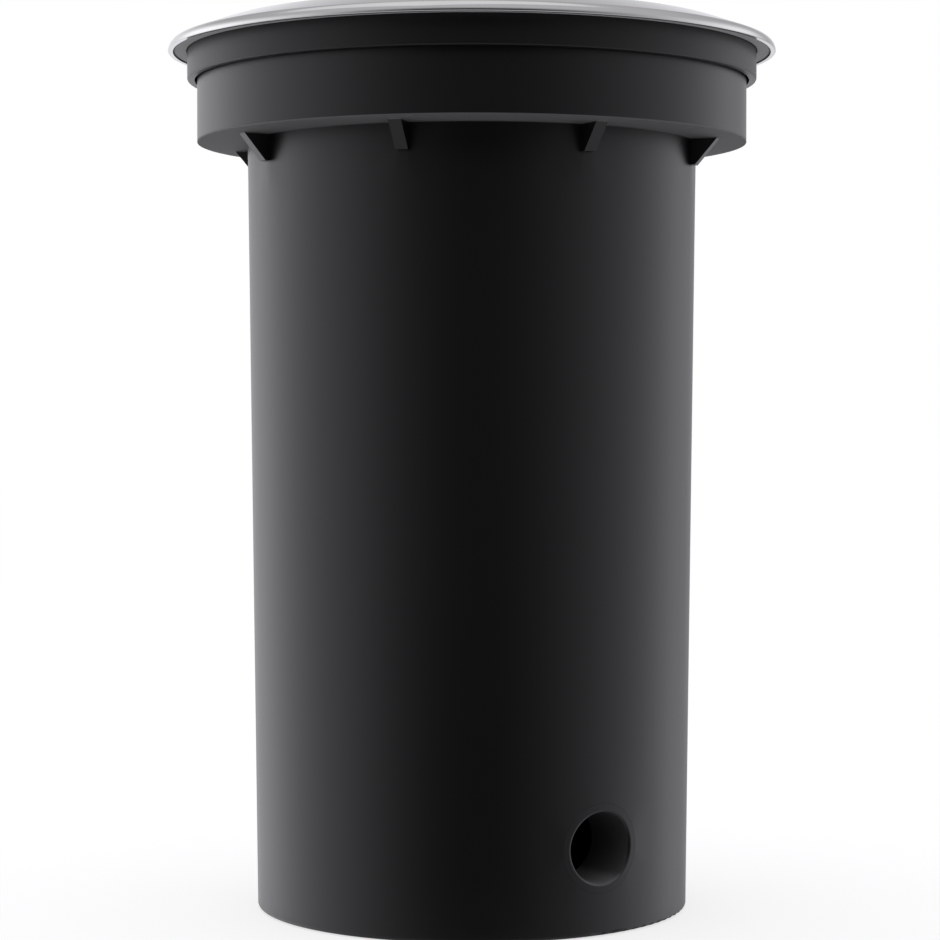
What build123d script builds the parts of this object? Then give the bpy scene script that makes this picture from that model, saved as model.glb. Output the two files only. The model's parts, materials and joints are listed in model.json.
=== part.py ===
from build123d import *
import os
from math import cos, radians, sin, sqrt, tan

# In-ground well light: a moulded sleeve is buried to its collar, a cast mounting ring laps over the
# collar, and a finned lamp can hangs from that ring. Millimetres, +Z up, origin at the base centre.
# The conduit hub faces -Y.

os.makedirs("parts", exist_ok=True)

# ---------------------------------------------------------------- sleeve
tube_base_diameter = 142.0
tube_top_diameter = 148.0
tube_height = 251.5
sleeve_wall = 3.0
floor_thickness = 4.0
base_edge_radius = 1.3
collar_step = 16.5  # collar's outer face beyond the top of the tube
collar_height = 21.8
collar_wall = 3.2
collar_plate = 3.2
collar_edge_radius = 0.6
collar_root_radius = 1.0

gusset_count = 8
gusset_angle = -96.1
gusset_reach = 9.0
gusset_drop = 8.6
gusset_foot = 1.8
gusset_thickness = 4.1

conduit_diameter = 22.1
conduit_height = 27.4
conduit_depth = 20.0
conduit_hub_wall = 3.0
conduit_mouth_radius = 1.0

floor_rib_count = 6
floor_rib_height = 5.0
floor_rib_thickness = 2.5
floor_ring_diameter = 26.0
centre_drain_diameter = 16.0
drain_diameter = 9.0
drain_circle_radius = 42.0

web_count = 8
web_height = 9.0
web_thickness = 2.5

# ---------------------------------------------------------------- fits
running_clearance = 0.08  # a shaft that turns in a hole
screw_clearance = 0.4  # a screw's shank in a plain hole
thread_gap = 0.05  # a screw's thread in its tapped hole
slide_clearance = 0.4  # a turning ring in its bore
seat_clearance = 0.1  # a fixed piece in its seat
bond_gap = 0.05  # a glued joint
rotor_gap = 0.05  # axial play of a pivot
tap_margin = 1.2  # a blind tapped hole beyond the tip of its screw
same_level = 0.01  # points this close lie on one level

# ---------------------------------------------------------------- fasteners
cap_head_ratio = 0.8  # radius of a cap screw's head over the screw's diameter
socket_ratio = 0.4  # half a socket's width over the screw's diameter
countersunk_socket_ratio = 0.3
head_chamfer_ratio = 0.08
countersink_angle = 90.0

# ---------------------------------------------------------------- mounting ring
ring_screw_count = 3
ring_screw_angle = 30.0
ring_screw_diameter = 5.0
ring_screw_length = 14.0
ring_screw_sink = 6.0  # depth of the counterbore under the land
ring_boss_diameter = 10.5
collar_gasket_thickness = 1.5
gasket_margin = 0.2
skirt_clearance = 0.85
skirt_wall = 2.4
skirt_lap = 1.6
skirt_edge_radius = 0.7
spigot_clearance = 0.6
spigot_depth = 6.8
spigot_wall = 10.4
seat_thickness = 8.7
core_wall = 3.0
core_roof = 4.7
rim_land = 5.5
ring_rib_count = 24
ring_rib_thickness = 2.0
ring_rib_recess = 1.0

# ---------------------------------------------------------------- glass and trim
glass_inset = 2.4  # the glass edge inside the spigot's face
glass_thickness = 8.0
glass_chamfer = 0.8
gasket_bottom_web = 1.5
gasket_top_web = 1.2
gasket_wall = 2.2
gasket_lap_bottom = 6.0
gasket_lap_top = 3.0
pocket_clearance = 0.15  # the gasket's outside in the ring's pocket

trim_overhang = 6.25
trim_rise = 8.4
trim_rim_height = 2.6
trim_lip = 1.6
trim_plate = 2.0
trim_land_plate = 3.0
trim_bevel_width = 16.4
trim_bevel_radius = 20.0
trim_rim_radius = 3.3
trim_overlap = 4.0  # how far the trim laps over the glass
trim_opening_radius = 1.2
trim_gap = 0.4
trim_seal_clearance = 0.3  # the foam seal outside the mounting ring's skirt
trim_seal_recess = 0.4  # the foam seal above the trim's bottom edge
trim_screw_count = 6
trim_screw_diameter = 5.0
trim_screw_head = 10.0
trim_screw_length = 12.0
trim_screw_wall = 1.9

# ---------------------------------------------------------------- lamp can
can_depth = 140.0
can_wall = 3.0
can_floor = 3.5
can_corner_radius = 4.0
can_flange_thickness = 5.0
can_flange_margin = 0.4
fin_length = 6.1  # from the can's outside to the tips of its fins
ledge_depth = 44.0
ledge_width = 2.9
can_screw_count = 6
can_screw_diameter = 4.0
can_screw_length = 10.0
can_screw_margin = 3.6
o_ring_section = 2.0
o_ring_margin = 2.0
fin_pitch_count = 36
fin_thickness = 2.0
fin_clearance = 1.5
fin_foot_height = 6.0
fin_foot_taper = 8.0
fin_foot_width = 3.0

# ---------------------------------------------------------------- aiming gear
aiming_ring_thickness = 4.0
friction_washer_thickness = 1.0
friction_washer_width = 4.0
snap_ring_thickness = 1.5
snap_ring_width = 3.0
snap_groove_depth = 1.2
snap_ring_gap_angle = 24.0
snap_lug_hole = 1.6
snap_lug_radius = 2.4
aiming_ring_width = 11.0
swing_clearance = 6.5  # the lamp head inside the aiming ring
pivot_rise = 12.0  # pivot axis above the ledge
ear_thickness = 3.0
ear_radius = 8.0
grip_hole_diameter = 5.0
grip_hole_count = 4
shoulder_diameter = 6.0
pivot_thread_diameter = 4.0
pivot_head_diameter = 10.0
pivot_head_height = 3.0
pivot_socket = 4.0  # across the flats
pivot_socket_depth = 2.0
pivot_washer_thickness = 1.6
pivot_washer_diameter = 11.0

# ---------------------------------------------------------------- lamp head
head_plate_drop = 6.0  # top of the heat sink's plate below the pivot
head_plate_thickness = 5.5
head_fin_depth = 23.0
head_fin_count = 20
head_fin_thickness = 1.6
head_core_radius = 13.0
lug_step = 1.3
lug_thickness = 5.3
lug_radius = 6.0
lug_gap = 0.5
barrel_height = 25.0
barrel_wall = 1.5
barrel_foot_gap = 2.0  # from the emitter holder to the barrel's foot
barrel_foot_height = 2.5
bezel_skirt = 9.0
bezel_plate = 2.0
bezel_wall = 1.7
bezel_lap = 2.5
bezel_chamfer = 1.2
optic_thickness = 3.0
reflector_wall = 0.8
reflector_rim = 1.0
reflector_throat = 9.5
reflector_arc_radius = 34.0
board_side = 22.0
board_thickness = 1.2
board_clearance = 0.2
emitter_diameter = 14.0
emitter_height = 0.7
holder_diameter = 44.0
holder_height = 3.6
holder_opening_diameter = 17.0
holder_screw_diameter = 3.0
holder_screw_length = 6.0
holder_screw_radius = 18.2
holder_screw_sink = 2.0

# ---------------------------------------------------------------- control gear
driver_length = 70.0
driver_width = 40.0
driver_height = 22.0
driver_offset = -12.0
driver_corner_radius = 4.0
driver_rise = 10.0
driver_lid_thickness = 2.0
driver_lid_chamfer = 0.5
driver_tab_length = 10.0
driver_tab_width = 20.0
driver_tab_thickness = 3.0
driver_rib_count = 7
driver_rib_pitch = 8.0
driver_rib_width = 3.0
driver_rib_depth = 1.2
driver_screw_diameter = 4.0
driver_screw_length = 9.0
driver_boss_diameter = 8.0

terminal_ways = 3
terminal_pitch = 10.0
terminal_width = 14.0
terminal_height = 16.0
terminal_offset = 26.0
terminal_pad = 2.5
terminal_entry_diameter = 4.2
terminal_entry_height = 5.0
terminal_well_diameter = 4.6
terminal_well_depth = 9.0
terminal_screw_diameter = 4.0
terminal_screw_length = 5.0
terminal_slot_width = 0.8
terminal_slot_depth = 1.0
terminal_fixing_diameter = 2.5
terminal_fixing_length = 15.0
terminal_fixing_sink = 4.0

earth_angle = 145.0
earth_radius = 43.0
earth_boss_diameter = 9.0
earth_boss_height = 5.0
earth_screw_diameter = 4.0
earth_screw_length = 7.0
earth_washer_thickness = 1.0

# ---------------------------------------------------------------- cable gland
gland_thread_diameter = 20.0
gland_bore_diameter = 12.0
gland_hex = 24.0  # across the flats
gland_hex_height = 5.0
gland_neck_height = 7.0
gland_seal_washer = 1.0
gland_thread_proud = 2.0  # thread left standing above the locknut
locknut_hex = 25.0
locknut_height = 4.5
cap_height = 15.0
cap_wall = 2.4
cap_chamfer = 2.3
cap_chamfer_angle = 30.0
seal_bore_diameter = 9.0
seal_taper = 1.2

# ---------------------------------------------------------------- derived radii
tube_base_radius = tube_base_diameter / 2
tube_top_radius = tube_top_diameter / 2
tube_draft = (tube_top_radius - tube_base_radius) / tube_height
tube_inner_top = tube_top_radius - sleeve_wall
collar_radius = tube_top_radius + collar_step
collar_inner = collar_radius - collar_wall
ring_screw_radius = (tube_inner_top + collar_inner) / 2
skirt_inner = collar_radius + skirt_clearance
skirt_radius = skirt_inner + skirt_wall
spigot_radius = tube_inner_top - spigot_clearance
opening_radius = spigot_radius - spigot_wall
glass_radius = spigot_radius - glass_inset
gasket_channel = glass_radius + seat_clearance
gasket_outer = gasket_channel + gasket_wall
pocket_radius = gasket_outer + pocket_clearance
core_inner = pocket_radius + core_wall
core_outer = skirt_inner - rim_land
trim_radius = skirt_radius + trim_overhang
trim_knee = trim_radius - trim_bevel_width
trim_screw_radius = pocket_radius + trim_screw_wall + trim_screw_diameter / 2
fin_radius = min(tube_base_radius, tube_top_radius) - sleeve_wall - fin_clearance
can_outer = fin_radius - fin_length
can_bore = can_outer - can_wall
can_lower_bore = can_bore - ledge_width
can_flange_radius = spigot_radius - can_flange_margin
can_screw_radius = can_flange_radius - can_screw_margin
o_ring_radius = opening_radius + o_ring_margin

# ---------------------------------------------------------------- derived levels
collar_top = tube_height + collar_height
plate_top = tube_height + collar_plate
flange_under = collar_top + collar_gasket_thickness
skirt_bottom = collar_top - skirt_lap
ring_bottom = flange_under - spigot_depth
glass_seat = ring_bottom + seat_thickness
glass_bottom = glass_seat + gasket_bottom_web
land = glass_bottom + glass_thickness
crown = land + trim_land_plate
trim_bottom = crown - trim_rise
trim_slope = (trim_rise - trim_rim_height) / trim_bevel_width
trim_plate_rise = trim_plate * sqrt(1 + trim_slope**2)
core_top = land - core_roof
can_bottom = ring_bottom - can_depth
can_inside = can_bottom + can_floor
ledge = ring_bottom - ledge_depth
aiming_top = ledge + aiming_ring_thickness
snap_bottom = aiming_top + friction_washer_thickness
pivot_level = ledge + pivot_rise
head_top = pivot_level - head_plate_drop
head_under = head_top - head_plate_thickness
barrel_top = head_top + barrel_height


def tube_radius(height):
    """Outer radius of the drafted tube at a height."""
    return tube_base_radius + tube_draft * height


def bevel_underside(radius):
    """Level of the trim's sloping underside at a radius."""
    return crown - (radius - trim_knee) * trim_slope - trim_plate_rise


def radial_plane(angle):
    """Upright plane through the Z axis whose X points outwards at an angle."""
    outward = (cos(radians(angle)), sin(radians(angle)), 0)
    across = (sin(radians(angle)), -cos(radians(angle)), 0)
    return Plane(origin=(0, 0, 0), x_dir=outward, z_dir=across)


def cap_screw(diameter, length):
    """Socket head cap screw with its head's seat at the origin and its shank down -Z."""
    head = cap_head_ratio * diameter
    with BuildPart() as screw:
        with BuildSketch(Plane.XZ):
            with BuildLine():
                Polyline(
                    (0, diameter),
                    (head, diameter),
                    (head, 0),
                    (diameter / 2, 0),
                    (diameter / 2, -length),
                    (0, -length),
                    close=True,
                )
            make_face()
        revolve(axis=Axis.Z)
        with BuildSketch(Plane.XY.offset(diameter)):
            RegularPolygon(socket_ratio * diameter, 6, major_radius=False)
        extrude(amount=-diameter / 2, mode=Mode.SUBTRACT)
        top_edge = screw.edges().filter_by(GeomType.CIRCLE).sort_by(Axis.Z)[-1]
        chamfer(top_edge, head_chamfer_ratio * diameter)
    return screw.part


# ---------------------------------------------------------------- well sleeve
hub_radius = conduit_diameter / 2 + conduit_hub_wall
conduit_start = tube_radius(conduit_height) - conduit_depth
conduit_plane = Plane(origin=(0, -conduit_start, conduit_height), x_dir=(1, 0, 0), z_dir=(0, -1, 0))
with BuildPart() as well_sleeve:
    with BuildSketch(Plane.XZ) as sleeve_section:
        with BuildLine():
            Polyline(
                (0, 0),
                (tube_base_radius, 0),
                (tube_top_radius, tube_height),
                (collar_radius, tube_height),
                (collar_radius, collar_top),
                (collar_inner, collar_top),
                (collar_inner, plate_top),
                (tube_inner_top, plate_top),
                (tube_radius(floor_thickness) - sleeve_wall, floor_thickness),
                (0, floor_thickness),
                close=True,
            )
        make_face()
        corners = sleeve_section.vertices()
        fillet(corners.group_by(Axis.Y)[0].sort_by(Axis.X)[-1], base_edge_radius)
        underside = corners.filter_by(lambda v: abs(v.Y - tube_height) < same_level).sort_by(Axis.X)
        fillet(underside[0], collar_root_radius)
        fillet(underside[-1], collar_edge_radius)
    revolve(axis=Axis.Z)

    # gussets under the collar
    for index in range(gusset_count):
        with BuildSketch(radial_plane(gusset_angle + index * 360 / gusset_count)):
            with BuildLine():
                Polyline(
                    (tube_top_radius - sleeve_wall / 2, tube_height),
                    (tube_top_radius + gusset_reach, tube_height),
                    (tube_radius(tube_height - gusset_drop) + gusset_foot, tube_height - gusset_drop),
                    (tube_radius(tube_height - gusset_drop) - sleeve_wall / 2, tube_height - gusset_drop),
                    close=True,
                )
            make_face()
        extrude(amount=gusset_thickness / 2, both=True)

    # webs and screw bosses in the collar's trough
    with BuildSketch(Plane.XY.offset(plate_top)):
        with PolarLocations((tube_inner_top + collar_inner) / 2, web_count, start_angle=gusset_angle):
            Rectangle(collar_inner - tube_inner_top + collar_wall, web_thickness)
        Circle(tube_inner_top, mode=Mode.SUBTRACT)
    extrude(amount=web_height)
    with BuildSketch(Plane.XY.offset(plate_top)):
        with PolarLocations(ring_screw_radius, ring_screw_count, start_angle=ring_screw_angle):
            Circle(ring_boss_diameter / 2)
    extrude(amount=flange_under - plate_top)
    with BuildSketch(Plane.XY.offset(flange_under)):
        with PolarLocations(ring_screw_radius, ring_screw_count, start_angle=ring_screw_angle):
            Circle(ring_screw_diameter / 2 + thread_gap)
    extrude(amount=plate_top - flange_under, mode=Mode.SUBTRACT)

    # floor ribs, centre ring and drains
    with BuildSketch(Plane.XY.offset(floor_thickness)):
        rib_inner = floor_ring_diameter / 2 - floor_rib_thickness / 2
        rib_outer = tube_base_radius - sleeve_wall / 2
        with PolarLocations((rib_inner + rib_outer) / 2, floor_rib_count):
            Rectangle(rib_outer - rib_inner, floor_rib_thickness)
        Circle(floor_ring_diameter / 2)
    extrude(amount=floor_rib_height)
    with BuildSketch(Plane.XY):
        Circle(centre_drain_diameter / 2)
        with PolarLocations(drain_circle_radius, floor_rib_count, start_angle=180 / floor_rib_count):
            Circle(drain_diameter / 2)
    extrude(amount=floor_thickness + floor_rib_height, mode=Mode.SUBTRACT)

    # hole in the wall for the conduit hub
    with BuildSketch(conduit_plane):
        Circle(hub_radius + bond_gap)
    extrude(amount=2 * conduit_depth, mode=Mode.SUBTRACT)
well_sleeve.part.label = "well_sleeve"
export_step(well_sleeve.part, "parts/well_sleeve.step")

# ---------------------------------------------------------------- conduit hub
with BuildPart() as conduit_hub:
    with BuildSketch(conduit_plane):
        Circle(hub_radius)
    extrude(amount=2 * conduit_depth)
    with BuildSketch(Plane.XZ):
        with BuildLine():
            Polyline(
                (0, 0), (tube_base_radius, 0), (tube_top_radius, tube_height), (0, tube_height), close=True
            )
        make_face()
    revolve(axis=Axis.Z, mode=Mode.INTERSECT)
    with BuildSketch(conduit_plane):
        Circle(conduit_diameter / 2)
    extrude(amount=2 * conduit_depth, mode=Mode.SUBTRACT)
    fillet(conduit_hub.edges().sort_by(Axis.Y)[:1], conduit_mouth_radius)
conduit_hub.part.label = "conduit_hub"
export_step(conduit_hub.part, "parts/conduit_hub.step")

# ---------------------------------------------------------------- collar gasket
with BuildPart() as collar_gasket:
    with BuildSketch(Plane.XY.offset(collar_top)):
        Circle(collar_radius - gasket_margin)
        Circle(collar_inner + gasket_margin, mode=Mode.SUBTRACT)
    extrude(amount=collar_gasket_thickness)
collar_gasket.part.label = "collar_gasket"
export_step(collar_gasket.part, "parts/collar_gasket.step")

# ---------------------------------------------------------------- mounting ring
ring_land_radius = trim_knee + (crown - trim_plate_rise - trim_gap - land) / trim_slope
with BuildPart() as mounting_ring:
    with BuildSketch(Plane.XZ) as ring_section:
        with BuildLine():
            Polyline(
                (opening_radius, ring_bottom),
                (spigot_radius, ring_bottom),
                (spigot_radius, flange_under),
                (skirt_inner, flange_under),
                (skirt_inner, skirt_bottom),
                (skirt_radius, skirt_bottom),
                (skirt_radius, bevel_underside(skirt_radius) - trim_gap),
                (ring_land_radius, land),
                (pocket_radius, land),
                (pocket_radius, glass_seat),
                (opening_radius, glass_seat),
                close=True,
            )
        make_face()
        fillet(ring_section.vertices().group_by(Axis.X)[-1], skirt_edge_radius)
    revolve(axis=Axis.Z)

    # cored from below, with ribs and screw bosses left in the core
    with BuildSketch(Plane.XY.offset(flange_under)):
        Circle(core_outer)
        Circle(core_inner, mode=Mode.SUBTRACT)
        with PolarLocations(trim_screw_radius, trim_screw_count):
            Circle(trim_screw_diameter / 2 + trim_screw_wall, mode=Mode.SUBTRACT)
        with PolarLocations(ring_screw_radius, ring_screw_count, start_angle=ring_screw_angle):
            Circle(ring_boss_diameter / 2 + seat_clearance, mode=Mode.SUBTRACT)
    extrude(amount=core_top - flange_under, mode=Mode.SUBTRACT)
    with BuildSketch(Plane.XY.offset(flange_under + ring_rib_recess)):
        with PolarLocations((core_inner + core_outer) / 2, ring_rib_count, start_angle=180 / ring_rib_count):
            Rectangle(core_outer - core_inner + ring_rib_thickness, ring_rib_thickness)
    extrude(amount=core_top - flange_under - ring_rib_recess)

    # trim screws, counterbored ring screws and the can's blind holes
    with BuildSketch(Plane.XY.offset(land)):
        with PolarLocations(trim_screw_radius, trim_screw_count):
            Circle(trim_screw_diameter / 2 + thread_gap)
        with PolarLocations(ring_screw_radius, ring_screw_count, start_angle=ring_screw_angle):
            Circle(ring_screw_diameter / 2 + screw_clearance)
    extrude(amount=flange_under - land, mode=Mode.SUBTRACT)
    with BuildSketch(Plane.XY.offset(land)):
        with PolarLocations(ring_screw_radius, ring_screw_count, start_angle=ring_screw_angle):
            Circle(cap_head_ratio * ring_screw_diameter + screw_clearance)
    extrude(amount=-ring_screw_sink, mode=Mode.SUBTRACT)
    with BuildSketch(Plane.XY.offset(ring_bottom)):
        with PolarLocations(can_screw_radius, can_screw_count, start_angle=180 / can_screw_count):
            Circle(can_screw_diameter / 2 + thread_gap)
    extrude(amount=can_screw_length - can_flange_thickness + tap_margin, mode=Mode.SUBTRACT)
mounting_ring.part.label = "mounting_ring"
export_step(mounting_ring.part, "parts/mounting_ring.step")

# ---------------------------------------------------------------- ring screws
with BuildPart() as ring_screws:
    with Locations((0, 0, land - ring_screw_sink)):
        with PolarLocations(ring_screw_radius, ring_screw_count, start_angle=ring_screw_angle):
            add(cap_screw(ring_screw_diameter, ring_screw_length))
ring_screws.part.label = "ring_screws"
export_step(ring_screws.part, "parts/ring_screws.step")

# ---------------------------------------------------------------- trim ring
trim_step = pocket_radius + 2 * seat_clearance
trim_lip_inner = trim_radius - trim_lip
trim_break = trim_knee + (crown - trim_plate_rise - land) / trim_slope
with BuildPart() as trim_ring:
    with BuildSketch(Plane.XZ) as trim_section:
        with BuildLine():
            Polyline(
                (glass_radius - trim_overlap, land + gasket_top_web),
                (trim_step, land + gasket_top_web),
                (trim_step, land),
                (trim_break, land),
                (trim_lip_inner, bevel_underside(trim_lip_inner)),
                (trim_lip_inner, trim_bottom),
                (trim_radius, trim_bottom),
                (trim_radius, trim_bottom + trim_rim_height),
                (trim_knee, crown),
                (glass_radius - trim_overlap, crown),
                close=True,
            )
        make_face()
        rim_corner = trim_section.vertices().group_by(Axis.X)[-1].sort_by(Axis.Y)[-1]
        fillet(rim_corner, trim_rim_radius)
        crown_corners = trim_section.vertices().group_by(Axis.Y)[-1].sort_by(Axis.X)
        fillet(crown_corners[-1], trim_bevel_radius)
        fillet(trim_section.vertices().group_by(Axis.X)[0].sort_by(Axis.Y)[-1], trim_opening_radius)
    revolve(axis=Axis.Z)
    with Locations((0, 0, crown)):
        with PolarLocations(trim_screw_radius, trim_screw_count):
            CounterSinkHole(
                radius=trim_screw_diameter / 2 + screw_clearance,
                counter_sink_radius=trim_screw_head / 2 + seat_clearance,
                counter_sink_angle=countersink_angle,
            )
trim_ring.part.label = "trim_ring"
export_step(trim_ring.part, "parts/trim_ring.step")

# ---------------------------------------------------------------- foam seal under the trim
seal_inner = skirt_radius + trim_seal_clearance
seal_outer = trim_lip_inner - bond_gap
with BuildPart() as trim_seal:
    with BuildSketch(Plane.XZ):
        with BuildLine():
            Polyline(
                (seal_inner, trim_bottom + trim_seal_recess),
                (seal_outer, trim_bottom + trim_seal_recess),
                (seal_outer, bevel_underside(seal_outer) - bond_gap),
                (seal_inner, bevel_underside(seal_inner) - bond_gap),
                close=True,
            )
        make_face()
    revolve(axis=Axis.Z)
trim_seal.part.label = "trim_seal"
export_step(trim_seal.part, "parts/trim_seal.step")

# ---------------------------------------------------------------- trim screws
trim_head_depth = (trim_screw_head - trim_screw_diameter) / 2 / tan(radians(countersink_angle / 2))
with BuildPart() as trim_screw:
    with BuildSketch(Plane.XZ):
        with BuildLine():
            Polyline(
                (0, 0),
                (trim_screw_head / 2, 0),
                (trim_screw_diameter / 2, -trim_head_depth),
                (trim_screw_diameter / 2, -trim_screw_length),
                (0, -trim_screw_length),
                close=True,
            )
        make_face()
    revolve(axis=Axis.Z)
    with BuildSketch(Plane.XY):
        RegularPolygon(countersunk_socket_ratio * trim_screw_diameter, 6, major_radius=False)
    extrude(amount=-trim_head_depth, mode=Mode.SUBTRACT)
with BuildPart() as trim_screws:
    with Locations((0, 0, crown - seat_clearance)):
        with PolarLocations(trim_screw_radius, trim_screw_count):
            add(trim_screw.part)
trim_screws.part.label = "trim_screws"
export_step(trim_screws.part, "parts/trim_screws.step")

# ---------------------------------------------------------------- glass lens
with BuildPart() as glass_lens:
    with BuildSketch(Plane.XY.offset(glass_bottom)):
        Circle(glass_radius)
    extrude(amount=glass_thickness)
    chamfer(glass_lens.edges().filter_by(GeomType.CIRCLE), glass_chamfer)
glass_lens.part.label = "glass_lens"
export_step(glass_lens.part, "parts/glass_lens.step")

# ---------------------------------------------------------------- glass gasket
with BuildPart() as glass_gasket:
    with BuildSketch(Plane.XZ):
        with BuildLine():
            Polyline(
                (glass_radius - gasket_lap_bottom, glass_seat),
                (gasket_outer, glass_seat),
                (gasket_outer, land + gasket_top_web),
                (glass_radius - gasket_lap_top, land + gasket_top_web),
                (glass_radius - gasket_lap_top, land),
                (gasket_channel, land),
                (gasket_channel, glass_bottom),
                (glass_radius - gasket_lap_bottom, glass_bottom),
                close=True,
            )
        make_face()
    revolve(axis=Axis.Z)
glass_gasket.part.label = "glass_gasket"
export_step(glass_gasket.part, "parts/glass_gasket.step")

# ---------------------------------------------------------------- lamp can
can_lower_outer = can_lower_bore + can_wall
shoulder_level = ledge - can_wall
with BuildPart() as lamp_can:
    with BuildSketch(Plane.XZ) as can_section:
        with BuildLine():
            Polyline(
                (0, can_bottom),
                (can_lower_outer, can_bottom),
                (can_lower_outer, shoulder_level),
                (can_outer, shoulder_level),
                (can_outer, ring_bottom - can_flange_thickness),
                (can_flange_radius, ring_bottom - can_flange_thickness),
                (can_flange_radius, ring_bottom),
                (can_bore, ring_bottom),
                (can_bore, ledge),
                (can_lower_bore, ledge),
                (can_lower_bore, can_inside),
                (0, can_inside),
                close=True,
            )
        make_face()
        bottom_corner = can_section.vertices().group_by(Axis.Y)[0].sort_by(Axis.X)[-1]
        fillet(bottom_corner, can_corner_radius)
    revolve(axis=Axis.Z)

    # cooling fins, left out where a flange screw needs its driver
    fin_under = ring_bottom - can_flange_thickness
    fin_bottom = can_bottom + fin_foot_height
    screw_step = fin_pitch_count // can_screw_count
    for index in range(fin_pitch_count):
        if index % screw_step == screw_step // 2:
            continue
        with BuildSketch(radial_plane(index * 360 / fin_pitch_count)):
            with BuildLine():
                Polyline(
                    (can_lower_outer - can_wall / 2, fin_bottom),
                    (can_lower_outer + fin_foot_width, fin_bottom),
                    (fin_radius, fin_bottom + fin_foot_taper),
                    (fin_radius, fin_under),
                    (can_outer - can_wall / 2, fin_under),
                    (can_outer - can_wall / 2, shoulder_level),
                    (can_lower_outer - can_wall / 2, shoulder_level),
                    close=True,
                )
            make_face()
        extrude(amount=fin_thickness / 2, both=True)

    # O-ring groove, snap ring groove and flange holes
    with BuildSketch(Plane.XY.offset(ring_bottom)):
        Circle(o_ring_radius + o_ring_section / 2 + seat_clearance)
        Circle(o_ring_radius - o_ring_section / 2 - seat_clearance, mode=Mode.SUBTRACT)
    extrude(amount=-o_ring_section, mode=Mode.SUBTRACT)
    with BuildSketch(Plane.XY.offset(snap_bottom)):
        Circle(can_bore + snap_groove_depth)
        Circle(can_bore - seat_clearance, mode=Mode.SUBTRACT)
    extrude(amount=snap_ring_thickness + seat_clearance, mode=Mode.SUBTRACT)
    with BuildSketch(Plane.XY.offset(ring_bottom)):
        with PolarLocations(can_screw_radius, can_screw_count, start_angle=180 / can_screw_count):
            Circle(can_screw_diameter / 2 + screw_clearance / 2)
    extrude(amount=-can_flange_thickness, mode=Mode.SUBTRACT)

    # bosses on the floor for the driver, the terminal block and the earth screw
    driver_tab_centre = (driver_length + driver_tab_length) / 2
    with BuildSketch(Plane.XY.offset(can_inside)):
        with Locations((driver_tab_centre, driver_offset), (-driver_tab_centre, driver_offset)):
            Circle(driver_boss_diameter / 2)
    extrude(amount=driver_rise)
    with BuildSketch(Plane.XY.offset(can_inside)):
        with Locations((0, terminal_offset)):
            Rectangle(terminal_ways * terminal_pitch, terminal_width)
    extrude(amount=terminal_pad)
    with BuildSketch(Plane.XY.offset(can_inside)):
        with PolarLocations(earth_radius, 1, start_angle=earth_angle):
            Circle(earth_boss_diameter / 2)
    extrude(amount=earth_boss_height)

    # tapped holes in those bosses and the gland's hole through the floor
    with BuildSketch(Plane.XY.offset(can_inside + driver_rise)):
        with Locations((driver_tab_centre, driver_offset), (-driver_tab_centre, driver_offset)):
            Circle(driver_screw_diameter / 2 + thread_gap)
    extrude(amount=-driver_rise, mode=Mode.SUBTRACT)
    with BuildSketch(Plane.XY.offset(can_inside + terminal_pad)):
        with Locations((0, terminal_offset)):
            with GridLocations(terminal_pitch, terminal_width, terminal_ways - 1, 1):
                Circle(terminal_fixing_diameter / 2 + thread_gap)
    fixing_reach = terminal_fixing_length + terminal_fixing_sink - terminal_height
    extrude(amount=-fixing_reach - tap_margin, mode=Mode.SUBTRACT)
    with BuildSketch(Plane.XY.offset(can_inside + earth_boss_height)):
        with PolarLocations(earth_radius, 1, start_angle=earth_angle):
            Circle(earth_screw_diameter / 2 + thread_gap)
    extrude(amount=-earth_screw_length, mode=Mode.SUBTRACT)
    with BuildSketch(Plane.XY.offset(can_bottom)):
        Circle(gland_thread_diameter / 2 + seat_clearance)
    extrude(amount=can_floor, mode=Mode.SUBTRACT)
lamp_can.part.label = "lamp_can"
export_step(lamp_can.part, "parts/lamp_can.step")

# ---------------------------------------------------------------- can O-ring
with BuildPart() as can_o_ring:
    with BuildSketch(Plane.XZ):
        with Locations((o_ring_radius, ring_bottom - o_ring_section / 2)):
            Circle(o_ring_section / 2)
    revolve(axis=Axis.Z)
can_o_ring.part.label = "can_o_ring"
export_step(can_o_ring.part, "parts/can_o_ring.step")

# ---------------------------------------------------------------- can screws
with BuildPart() as can_screws:
    with Locations((0, 0, ring_bottom - can_flange_thickness)):
        with PolarLocations(can_screw_radius, can_screw_count, start_angle=180 / can_screw_count):
            add(cap_screw(can_screw_diameter, can_screw_length), rotation=(180, 0, 0))
can_screws.part.label = "can_screws"
export_step(can_screws.part, "parts/can_screws.step")

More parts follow.
